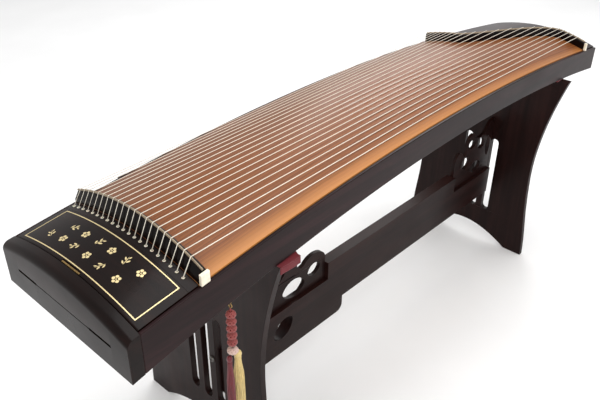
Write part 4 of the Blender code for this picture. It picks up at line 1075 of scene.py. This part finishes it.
class GUZHENG_OT_inner_boards(bpy.types.Operator):
    """The back board with its sound holes, and the wood inside the body"""
    bl_idname = "guzheng.inner_boards"
    bl_label = "Back and inner boards"

    def execute(self, context):
        low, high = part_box("back_board")

        def place(u, v, w):
            x = low.x + u * (high.x - low.x)
            return x, inner_y(x, 2 * v - 1), body_bottom(x) + w * BACK

        back = board("back_panel", (56, 8), place, inner_finish())
        for length_x, length, width in SOUND_HOLES:
            half = width / 2
            reach = length / 2 - half
            loop = arc((length_x + reach, CENTRE_Y), half, -90, 90, 16)
            loop += arc((length_x - reach, CENTRE_Y), half, 90, 270, 16)
            lift = Matrix.Translation((0, 0, body_bottom(length_x)))
            back = cut(back, flat_shape("sound_hole_cutter", [loop], 0.06, lift, inner_finish()))
        round_edges(back, 0.0008, 2)
        settle(back, "instrument", "inner_wood", "back_board")
        for node in ("sound_brace_head", "sound_brace_middle", "sound_brace_tail", "string_box_wall",
                     "pin_block"):
            paint(node, inner_finish())
        self.hole_board()
        return {"FINISHED"}

    def hole_board(self):
        low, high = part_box("string_hole_board")

        def place(u, v, w):
            x = low.x + u * (high.x - low.x)
            y = inner_y(x, 2 * v - 1)
            return x, y, surface(x, y) - (1 - w) * BOARD

        strip = board("string_hole_strip", (4, 60), place, head_finish())
        spots = [(HOLE_X, string_y(number, HOLE_X)) for number in range(1, STRINGS + 1)]
        strip = cut(strip, drill("head_drill", spots))
        round_edges(strip, 0.0006, 2)
        settle(strip, "instrument", "head_wood", "string_hole_board")
        settle(eyelets("head_eyelets", spots), "instrument", "bone")


def paint(node, finish):
    """Gives a frame node a finished material and leaves its shape alone."""
    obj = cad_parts[node]
    if not obj.material_slots:
        obj.data.materials.append(finish)
    for material_slot in obj.material_slots:
        material_slot.material = finish


# Lid

def hinge_axis():
    x = -LENGTH / 2 + HEAD_BLOCK + 3 * GAP + HINGE_DEPTH
    return Vector((x, CENTRE_Y, surface(x, CENTRE_Y) - HINGE_DEPTH))


class GUZHENG_OT_lid(bpy.types.Operator):
    """The lid of the string box with its inlay"""
    bl_idname = "guzheng.lid"
    bl_label = "Lid and inlay"

    def execute(self, context):
        axis = hinge_axis()
        start = axis.x - HINGE_DEPTH
        samples = [0, 0.003, 0.008, 0.014, 0.021, LID_LIP]
        samples += [LID_LIP + (1 - LID_LIP) * k / 14 for k in range(1, 15)]

        def place(u, v, w):
            u = samples[round(u * (len(samples) - 1))]
            x = start + u * (LID_END_X - start)
            y = inner_y(x, 2 * v - 1)
            drop = HINGE_DEPTH * (1 - math.sqrt(max(0.0, 1 - max(0.0, 1 - u / LID_LIP) ** 2))) if w else 0
            return x, y, surface(x, y) - (1 - w) * LID_THICKNESS - drop

        lid = board("lid_panel", (len(samples) - 1, 56), place, head_finish())
        half = HINGE_HALF_WIDTH
        near, far = axis.x - 0.02, axis.x + 0.0026
        corners = [(near, -half), (far, -half), (far, half), (near, half)]
        notch = flat_shape("hinge_notch", [[(x, axis.y + y) for x, y in corners]], 0.04,
                           Matrix.Translation((0, 0, axis.z)), head_finish())
        lid = cut(lid, notch)
        round_edges(lid, 0.0007, 2, 50)
        settle(lid, "lid", "head_wood", "string_box_lid")
        self.border(axis)
        self.sprigs(axis)
        paint("lid_hinge_fixed_leaf", brass_finish())
        paint("lid_hinge_moving_leaf", brass_finish())
        return {"FINISHED"}

    def border(self, axis):
        """A thin brass line let into the lid all round."""
        start, end = axis.x + BORDER_INSET, LID_END_X - BORDER_INSET
        half_y, width = BORDER_HALF_Y, BORDER_WIDTH
        foot, face = INLAY_LEVELS
        corners = [(start, -half_y), (end, -half_y), (end, half_y), (start, half_y)]
        inward = [(1, 1), (-1, 1), (-1, -1), (1, -1)]
        rings = []
        for k in range(4):
            (ax, ay), (bx, by) = corners[k], corners[(k + 1) % 4]
            (cx, cy), (dx, dy) = inward[k], inward[(k + 1) % 4]
            steps = 36 if ax == bx else 10
            for s in range(steps):
                t = s / steps
                outer = (ax + (bx - ax) * t, ay + (by - ay) * t)
                inner = (ax + cx * width + (bx + dx * width - ax - cx * width) * t,
                         ay + cy * width + (by + dy * width - ay - cy * width) * t)
                ring = []
                for (x, y), z in ((outer, foot), (outer, face), (inner, face), (inner, foot)):
                    ring.append(Vector((x, CENTRE_Y + y, surface(x, CENTRE_Y + y) + z)))
                rings.append(ring)
        line = loft("lid_border_line", rings, gold_finish(), closed=True)
        settle(line, "lid", "gold_inlay", "lid_border_inlay")

    def sprigs(self, axis):
        """Two rows of small blossoms and leaves in place of any writing."""
        dice = random.Random(7)
        outlines = []
        rows = ((0.032, (0.112, 0.076, 0.040, 0.002, -0.036, -0.078)),
                (0.062, (0.086, 0.050, 0.012, -0.022, -0.058, -0.096)))
        for depth, offsets in rows:
            for k, offset in enumerate(offsets):
                place = Vector((axis.x + depth + dice.uniform(-0.002, 0.002), CENTRE_Y + offset))
                turn = dice.uniform(0, 2 * math.pi)
                if k % 2:
                    outlines += blossom(place, turn, 0.0085)
                else:
                    outlines += sprig(place, turn, 0.0145)
        verts, faces = [], []
        for outline in outlines:
            base, count = len(verts), len(outline)
            for lift in INLAY_LEVELS:
                for point in outline:
                    verts.append((point.x, point.y, surface(point.x, point.y) + lift))
            faces.append(tuple(base + k for k in range(count)))
            faces.append(tuple(base + count + k for k in range(count)))
            for k in range(count):
                nxt = (k + 1) % count
                faces.append((base + k, base + nxt, base + count + nxt, base + count + k))
        flowers = add_mesh("lid_sprigs", verts, faces, gold_finish())
        settle(flowers, "lid", "gold_inlay")


def leaf(length, width, turn, steps, fullness):
    """A pointed oval about the origin; a fullness of 1 makes it a plain oval."""
    points = []
    for angle in circle(steps):
        a = 0.5 * length * math.cos(angle)
        b = 0.5 * width * math.sin(angle) * (fullness + (1 - fullness) * abs(math.sin(angle)))
        points.append((a * math.cos(turn) - b * math.sin(turn), a * math.sin(turn) + b * math.cos(turn)))
    return points


def petal(centre, turn, length, width):
    return [centre + Vector(point) for point in leaf(length, width, turn, 14, 0.45)]


def blossom(centre, turn, radius):
    """Five petals round a small heart."""
    shapes = []
    for spoke in circle(5):
        angle = turn + spoke
        away = Vector((math.cos(angle), math.sin(angle)))
        middle = centre + away * radius * 0.62
        shapes.append(petal(middle, angle + math.pi / 2, radius * 0.72, radius * 0.66))
    shapes.append([centre + radius * 0.16 * Vector((math.cos(a), math.sin(a))) for a in circle(8)])
    return shapes


def sprig(centre, turn, length):
    """A bent stem with leaves on both sides."""
    way = Vector((math.cos(turn), math.sin(turn)))
    side = Vector((-way.y, way.x))
    shapes = [petal(centre, turn, length * 1.25, length * 0.09)]
    leaves = ((-0.35, 0.26, 0.7, 0.5), (-0.05, -0.28, -0.7, 0.55), (0.25, 0.25, 0.6, 0.48),
              (0.5, -0.2, -0.5, 0.4))
    for along, out, lean, size in leaves:
        shapes.append(petal(centre + way * along * length + side * out * length, turn + lean,
                                   length * size, length * size * 0.42))
    return shapes


# Nuts

class GUZHENG_OT_nuts(bpy.types.Operator):
    """Front and rear nuts with their saddles and bone end caps"""
    bl_idname = "guzheng.nuts"
    bl_label = "Nuts"

    def execute(self, context):
        front = [(-0.5, 0.0), (-0.5, 0.36), (-0.42, 0.46), (-0.25, 0.7), (-0.1, 0.9), (0.0, 0.985),
                 (0.14, 1.0), (0.3, 0.97), (0.42, 0.86), (0.5, 0.7), (0.5, 0.0)]
        shares = [-1 + 2 * k / 48 for k in range(49)]
        rings = []
        for share in shares:
            ring = []
            for a, b in front:
                x = NUT_X + a * NUT_THICKNESS
                y = inner_y(x, share)
                ring.append(Vector((x, y, surface(x, y) + GAP + b * nut_height(share))))
            rings.append(ring)
        nut = loft("front_nut_body", rings, nut_finish(), smooth_angle=50)
        settle(nut, "instrument", "head_wood", "front_nut")
        rear = [(-0.5, 0.0), (-0.5, 0.75), (-0.42, 0.92), (-0.25, 1.0), (0.1, 1.0), (0.25, 0.88),
                (0.4, 0.62), (0.5, 0.36), (0.5, 0.0)]
        nut = self.curved("rear_nut_body", rear, REAR_NUT["thickness"], GAP, REAR_NUT["height"],
                          nut_finish())
        settle(nut, "instrument", "head_wood", "rear_nut")
        crest = [(-0.5, 0.0), (-0.5, 0.55), (-0.3, 0.9), (0, 1.0), (0.3, 0.9), (0.5, 0.55), (0.5, 0.0)]
        saddle = self.curved("rear_saddle", crest, SADDLE[0], REAR_NUT["height"] + 2 * GAP, SADDLE[1] + GAP,
                             saddle_finish())
        settle(saddle, "instrument", "bone", "rear_nut_saddle")
        rings = []
        for share in shares:
            y = inner_y(NUT_X, share)
            base = surface(NUT_X, y) + nut_height(share) + 2 * GAP
            rings.append([Vector((NUT_X + a * SADDLE[0], y, base + b * (SADDLE[1] + GAP)))
                          for a, b in crest])
        settle(loft("front_saddle", rings, saddle_finish()), "instrument", "bone", "front_nut_saddle")
        self.caps()
        return {"FINISHED"}

    def curved(self, name, profile, thickness, low, height, finish):
        rings = []
        for k in range(121):
            share = -1 + 2 * k / 120
            middle, half = rear_nut_x(share), rear_nut_half(share, thickness)
            ring = []
            for a, b in profile:
                x = middle + 2 * a * half
                y = inner_y(x, share)
                ring.append(Vector((x, y, surface(x, y) + low + b * height)))
            rings.append(ring)
        return loft(name, rings, finish, smooth_angle=50)

    def caps(self):
        for name, middle, thickness, height in (
                ("front_nut_cap", NUT_X, NUT_THICKNESS, NUT_HEIGHTS[0]),
                ("rear_nut_cap", rear_nut_x(-1), REAR_NUT["thickness"], REAR_NUT["height"])):
            def place(u, v, w, middle=middle, thickness=thickness, height=height):
                x = middle + (u - 0.5) * thickness
                y = CENTRE_Y - half_width(x) + v * (SIDE - GAP)
                return x, y, edge_top(x) + 2 * GAP + w * height

            cap = board(name + "_bone", (3, 3), place, bone_finish())
            round_edges(cap, 0.0012, 3)
            settle(cap, "instrument", "bone", name)


# Strings and pins

def taut_over(profile):
    """The taut line over a row of (x, z) supports."""
    hull = []
    for point in sorted(profile):
        while len(hull) >= 2 and turns_up(hull[-2], hull[-1], point):
            hull.pop()
        hull.append(point)
    return hull


def turns_up(a, b, c):
    return (b[0] - a[0]) * (c[1] - a[1]) - (b[1] - a[1]) * (c[0] - a[0]) >= 0


def string_route(number, radius):
    share = rear_share(number)
    lift = radius + 3 * GAP
    pin_x, pin_y = pin_place(number)
    y = string_y(number, HOLE_X)
    top = surface(HOLE_X, y)
    points = [(pin_x, pin_y - PIN_RADIUS - radius, STRING_ON_PIN_Z), (HOLE_X, y, top - BOARD - 0.001),
              (HOLE_X, y, top + 0.001)]
    nut_y = string_y(number, NUT_X)
    nut_share = (nut_y - CENTRE_Y) / (half_width(NUT_X) - INSET)
    nut_top = surface(NUT_X, nut_y) + nut_height(nut_share) + 3 * GAP + SADDLE[1] + radius
    profile = [(NUT_X - 0.0012, nut_top), (NUT_X + 0.0012, nut_top)]
    rear_x = rear_nut_x(share)
    rear_lift = REAR_NUT["height"] + 3 * GAP + SADDLE[1] + radius
    steps = 24
    for k in range(1, steps):
        x = NUT_X + (rear_x - NUT_X) * k / steps
        profile.append((x, surface(x, string_y(number, x)) + lift))
    reach = rear_nut_half(share, 0.0012)
    for x in (rear_x - reach, rear_x + reach):
        profile.append((x, surface(x, string_y(number, x)) + rear_lift))
    points += [(x, string_y(number, x), z) for x, z in taut_over(profile)]
    hole_x = tail_hole_x(share)
    hole_y = string_y(number, hole_x)
    hole_top = surface(hole_x, hole_y)
    return points + [(hole_x, hole_y, hole_top + 0.0012), (hole_x, hole_y, hole_top - BOARD - 0.003)]


class GUZHENG_OT_strings(bpy.types.Operator):
    """The 21 strings, thin on the treble side and thick on the bass side"""
    bl_idname = "guzheng.strings"
    bl_label = "Strings"

    def execute(self, context):
        sizes = context.scene.guzheng_sizes
        knots = []
        for number in range(1, STRINGS + 1):
            share = (number - 1) / (STRINGS - 1)
            radius = 0.5 * (sizes.treble_string + (sizes.bass_string - sizes.treble_string) * share)
            route = string_route(number, radius)
            rings = tube_rings(route, radius, 8)
            string = loft("string_%02d" % number, rings, string_finish(), smooth_angle=80)
            settle(string, "instrument", "string_wire", *(["string_set"] if number == 1 else []))
            knots.append(route[-1])
            self.winding(number, radius, sizes.pin_turns)
        loops = []
        for x, y, z in knots:
            loops.append([(x + 0.0024 * math.cos(a), y + 0.0024 * math.sin(a), z) for a in circle(16)])
        verts, faces = tube_parts(loops, 0.001, 6, closed=True)
        settle(add_mesh("string_ends", verts, faces, string_finish(), 80), "instrument", "string_wire")
        return {"FINISHED"}

    def winding(self, number, radius, turns):
        """Coils of string on its pin; they turn with it."""
        x, y = pin_place(number)
        reach = PIN_RADIUS + radius
        count = round(14 * turns)
        line = []
        for k in range(count + 1):
            angle = -math.pi / 2 - 2 * math.pi * k / 14
            drop = 2.1 * radius * k / 14
            line.append((x + reach * math.cos(angle), y + reach * math.sin(angle), STRING_ON_PIN_Z - drop))
        verts, faces = tube_parts([line], radius, 6)
        coil = add_mesh("pin_winding_%02d" % number, verts, faces, string_finish(), 80)
        settle(coil, "pin_%02d" % number, "string_wire")


class GUZHENG_OT_tuning_pins(bpy.types.Operator):
    """The tuning pins in the string box"""
    bl_idname = "guzheng.tuning_pins"
    bl_label = "Tuning pins"

    def execute(self, context):
        mesh = None
        for number in range(1, STRINGS + 1):
            node = "tuning_pin_%02d" % number
            low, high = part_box(node)
            x, y = pin_place(number)
            if mesh is None:
                pin = self.first_pin(low.z, high.z)
                mesh = pin.data
                pin.name = "wrest_pin_%02d" % number
            else:
                pin = bpy.data.objects.new("wrest_pin_%02d" % number, mesh)
                context.scene.collection.objects.link(pin)
            pin.location = (x, y, 0)
            settle(pin, "pin_%02d" % number, "pin_steel", node)
        return {"FINISHED"}

    def first_pin(self, low, high):
        """A round shank with a tapered square head."""
        shoulder = high - 0.0105
        levels = [(0.0024, low, 0), (0.0029, low + 0.0008, 0), (PIN_RADIUS, low + 0.002, 0),
                  (PIN_RADIUS, shoulder, 0), (0.0028, shoulder + 0.0008, 0.3),
                  (0.00262, shoulder + 0.0018, 1), (0.00245, high - 0.0006, 1), (0.0021, high, 1)]
        rings = []
        for radius, z, square in levels:
            ring = []
            for angle in circle(32):
                stretch = 1 / max(abs(math.cos(angle)), abs(math.sin(angle)))
                reach = radius * (1 + square * (min(stretch, 1.32) - 1))
                ring.append(Vector((reach * math.cos(angle), reach * math.sin(angle), z)))
            rings.append(ring)
        return loft("wrest_pin", rings, steel_finish(), smooth_angle=32)


# Stand

def leg_loop(top_z):
    """Outline of a leg, of (y, z) points: treble edge, bass edge, then the arch between the feet."""
    right = list(FOOT_EDGE) + [(LEG_WAIST_HALF, LEG_WAIST_Z)]
    for k in range(1, 25):
        share = k / 24
        right.append((LEG_WAIST_HALF + (LEG_TOP_HALF - LEG_WAIST_HALF) * share ** FLARE_POWER,
                      LEG_WAIST_Z + share * (top_z - LEG_WAIST_Z)))
    arch = []
    for k in range(17):
        share = k / 16
        rise = max(0.0, math.sin(0.5 * math.pi * share)) ** FOOT_ARCH_POWER
        arch.append((FOOT_INNER * (1 - share), FOOT_ARCH_Z * rise))
    corner = [(LEG_TOP_HALF - inset, top_z - drop) for inset, drop in LEG_CORNER]
    flare = [(y, z) for y, z in right if z < top_z - 0.035]
    loop = flare + corner + [(-y, z) for y, z in reversed(right)] + [(-y, z) for y, z in arch]
    return loop + list(reversed(arch[:-1]))


def leaf_hole(x, z, length, width, tilt):
    return [(x + a, z + b) for a, b in leaf(length, width, math.radians(tilt), 24, 0.6)]


def side_on(x):
    return Matrix.Translation((x, 0, 0)) @ Matrix(((0, 0, 1, 0), (1, 0, 0, 0), (0, 1, 0, 0), (0, 0, 0, 1)))


FRONT_ON = Matrix(((1, 0, 0, 0), (0, 0, -1, 0), (0, 1, 0, 0), (0, 0, 0, 1)))


class GUZHENG_OT_legs(bpy.types.Operator):
    """The two slotted leg panels"""
    bl_idname = "guzheng.legs"
    bl_label = "Leg panels"

    def execute(self, context):
        edge = context.scene.guzheng_sizes.stand_edge
        for end, x in LEG_X.items():
            loops = [leg_loop(LEG_TOP[end])]
            for offset in SLOTS:
                loops.append(arc((offset, SLOT_REACH[1] - SLOT_HALF), SLOT_HALF, 0, 180, 12)
                             + arc((offset, SLOT_REACH[0] + SLOT_HALF), SLOT_HALF, 180, 360, 12))
            turn = side_on(x + LEG_THICKNESS / 2)
            leg = flat_shape("leg_" + end, loops, LEG_THICKNESS, turn, leg_finish())
            round_edges(leg, edge, 3)
            settle(leg, "stand", "stand_wood", "leg_panel_" + end)
        return {"FINISHED"}


class GUZHENG_OT_stretcher(bpy.types.Operator):
    """The long stretcher and its pierced scroll brackets"""
    bl_idname = "guzheng.stretcher"
    bl_label = "Stretcher and brackets"

    def execute(self, context):
        start, end = LEG_X["head"] + LEG_THICKNESS + GAP, LEG_X["tail"] - GAP
        corner = STRETCHER_STEP_X - STRETCHER_CORNER
        low_tail = end - BRACKET_SIZES["tail"][0] - 2 * GAP
        low_head = start + BRACKET_SIZES["head"][0] + 2 * GAP
        loop = [(start, STRETCHER_END), (start, STRETCHER_DEEP), (corner, STRETCHER_DEEP)]
        loop += arc((corner, STRETCHER_DEEP + STRETCHER_CORNER), STRETCHER_CORNER, -90, 0, 8)[1:]
        loop += [(STRETCHER_STEP_X, STRETCHER_BOTTOM), (end, STRETCHER_BOTTOM), (end, STRETCHER_END),
                 (low_tail, STRETCHER_END), (low_tail, STRETCHER_TOP), (low_head, STRETCHER_TOP),
                 (low_head, STRETCHER_END)]
        turn = Matrix.Translation((0, STRETCHER_Y, 0)) @ FRONT_ON
        rail = flat_shape("stretcher_rail", [loop, leaf_hole(*STRETCHER_HOLE)], STRETCHER_THICKNESS, turn,
                          rail_finish())
        round_edges(rail, 0.0024, 3)
        settle(rail, "stand", "stand_wood", "stretcher")
        self.bracket("head", start, 1)
        self.bracket("tail", end, -1)
        return {"FINISHED"}

    def bracket(self, end, start, way):
        """A thin pierced scroll in the corner between a leg and the stretcher."""
        length, height = BRACKET_SIZES[end]
        base = STRETCHER_END + GAP
        outline = [(0.0, 0.0), (1.0, 0.0)]
        outline += [(0.88 + 0.119 * a, 0.46 + 0.22 * b) for a, b in arc((0, 0), 1, -10, 150, 20)]
        outline += [(0.745, 0.55), (0.72, 0.58)]
        outline += [(0.58 + 0.13 * a, 0.68 + 0.24 * b) for a, b in arc((0, 0), 1, -10, 150, 18)]
        outline += [(0.36, 0.77), (0.25, 0.80), (0.12, 0.97), (0.0, 1.0)]
        outline = [(a * length, b * height) for a, b in outline]
        holes = [leaf_hole(length * along, height * up, long, wide, tilt)
                 for along, up, long, wide, tilt in BRACKET_HOLES[end]]
        loops = [[(start + way * a, base + b) for a, b in loop] for loop in [outline] + holes]
        turn = Matrix.Translation((0, STRETCHER_Y, 0)) @ FRONT_ON
        scroll = flat_shape("scroll_" + end, loops, BRACKET_THICKNESS, turn, rail_finish())
        round_edges(scroll, 0.0018, 3, 50)
        settle(scroll, "stand", "stand_wood", "fret_bracket_" + end)


class GUZHENG_OT_fittings(bpy.types.Operator):
    """Felt pads and bolts of the stand"""
    bl_idname = "guzheng.fittings"
    bl_label = "Pads and bolts"

    def execute(self, context):
        self.pad("tail", False)
        self.pad("head", True)
        self.bolt("head", LEG_X["head"], 1)
        self.bolt("tail", LEG_X["tail"] + LEG_THICKNESS, -1)
        return {"FINISHED"}

    def pad(self, end, folded):
        """Felt on top of a leg; on the head leg its bass end folds down over the wood."""
        dice = random.Random(3)
        width_x = PAD_WIDTHS[end]
        low_x = LEG_X[end] if folded else LEG_X[end] + LEG_THICKNESS - width_x
        top = LEG_TOP[end]
        reach = LEG_TOP_HALF + GAP
        under = inner_y(low_x + width_x, -1, SIDE), inner_y(low_x + width_x, 1, SIDE)
        count = 60
        low_y, high_y = (-reach - PAD_FELT, PAD_TREBLE_END) if folded else under
        rows = [low_y + (high_y - low_y) * k / count for k in range(count + 1)]
        verts, faces = [], []
        for u in (0.0, 0.5, 1.0):
            x = low_x + u * width_x
            for y in rows:
                full = body_bottom(x) - 2 * GAP
                inside = under[0] <= y <= under[1]
                high = full if inside or not folded else top + PAD_FELT
                verts.append((x, y, high - dice.uniform(0, 0.00015)))
        for u in (0.0, 0.5, 1.0):
            x = low_x + u * width_x
            for y in rows:
                verts.append((x, y, top + GAP))
        width = len(rows)

        def at(i, j, layer):
            return layer * 3 * width + i * width + j

        for i in range(2):
            for j in range(width - 1):
                faces.append((at(i, j, 0), at(i + 1, j, 0), at(i + 1, j + 1, 0), at(i, j + 1, 0)))
                faces.append((at(i, j, 1), at(i, j + 1, 1), at(i + 1, j + 1, 1), at(i + 1, j, 1)))
            for j in (0, width - 1):
                faces.append((at(i, j, 0), at(i, j, 1), at(i + 1, j, 1), at(i + 1, j, 0)))
        for j in range(width - 1):
            for i in (0, 2):
                faces.append((at(i, j, 0), at(i, j + 1, 0), at(i, j + 1, 1), at(i, j, 1)))
        pad = add_mesh("felt_strip_" + end, verts, faces, felt_finish())
        round_edges(pad, 0.0007, 2, 60)
        settle(pad, "stand", "red_felt", "felt_pad_" + end)
        if not folded:
            return

        def place(u, v, w):
            x = low_x + u * width_x
            ripple = 0.0003 * math.sin(9 * u - 2) * (1 - w)
            y = -(reach + v * PAD_FELT + ripple)
            return x, y, top - PAD_TONGUE + w * (PAD_TONGUE + GAP) + 0.0006 * math.sin(7 * u) * (1 - w)

        fold = board("felt_fold", (10, 2), place, felt_finish())
        round_edges(fold, 0.0008, 2, 50)
        settle(fold, "stand", "red_felt")

    def bolt(self, end, x, way):
        """A round-headed furniture bolt with a hexagon socket."""
        z = (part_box("stretcher_bolt_" + end)[0].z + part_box("stretcher_bolt_" + end)[1].z) / 2
        socket = 0.0034
        profile = [(socket, -0.0022), (0.0036, -0.0043), (0.0052, -0.0043), (0.0066, -0.0036),
                   (0.0074, -0.0022), (0.0075, -0.0004), (0.004, -0.0003), (0.004, BOLT_LENGTH - 0.001),
                   (0.0032, BOLT_LENGTH)]
        rings = []
        for k, (radius, along) in enumerate(profile):
            ring = []
            for angle in circle(24):
                reach = radius
                if k < 2:
                    flat = (angle + math.pi / 6) % (math.pi / 3) - math.pi / 6
                    reach = socket * math.cos(math.pi / 6) / math.cos(flat)
                ring.append(Vector((x + way * along, BOLT_Y + reach * math.cos(angle),
                                    z + reach * math.sin(angle))))
            rings.append(ring)
        bolt = loft("bolt_" + end, rings, bolt_finish(), smooth_angle=35)
        settle(bolt, "stand", "bolt_steel", "stretcher_bolt_" + end)


# Panel and registration

STEPS = ("stage", "cord", "screw_eye", "soundboard", "tail_board", "side_boards", "inner_boards",
         "lid", "nuts", "strings", "tuning_pins", "legs", "stretcher", "fittings")


class GUZHENG_PT_panel(bpy.types.Panel):
    """Buttons for each group of pieces, and the sizes and colours that they use"""
    bl_label = "Guzheng"
    bl_idname = "GUZHENG_PT_panel"
    bl_space_type = "VIEW_3D"
    bl_region_type = "UI"
    bl_category = "Guzheng"

    def draw(self, context):
        for step in STEPS:
            self.layout.operator("guzheng." + step)
        for group in (context.scene.guzheng_sizes, context.scene.guzheng_colours):
            for name in group.__annotations__:
                self.layout.prop(group, name)


CLASSES = (GuzhengSizes, GuzhengColours, GUZHENG_OT_stage, GUZHENG_OT_cord, GUZHENG_OT_screw_eye,
           GUZHENG_OT_soundboard, GUZHENG_OT_tail_board, GUZHENG_OT_side_boards, GUZHENG_OT_inner_boards,
           GUZHENG_OT_lid, GUZHENG_OT_nuts, GUZHENG_OT_strings, GUZHENG_OT_tuning_pins, GUZHENG_OT_legs,
           GUZHENG_OT_stretcher, GUZHENG_OT_fittings, GUZHENG_PT_panel)


def register():
    for item in CLASSES:
        bpy.utils.register_class(item)
    bpy.types.Scene.guzheng_sizes = PointerProperty(type=GuzhengSizes)
    bpy.types.Scene.guzheng_colours = PointerProperty(type=GuzhengColours)


def unregister():
    del bpy.types.Scene.guzheng_colours
    del bpy.types.Scene.guzheng_sizes
    for item in reversed(CLASSES):
        bpy.utils.unregister_class(item)


def main():
    register()
    for step in STEPS:
        getattr(bpy.ops.guzheng, step)()


if __name__ == "__main__":
    main()
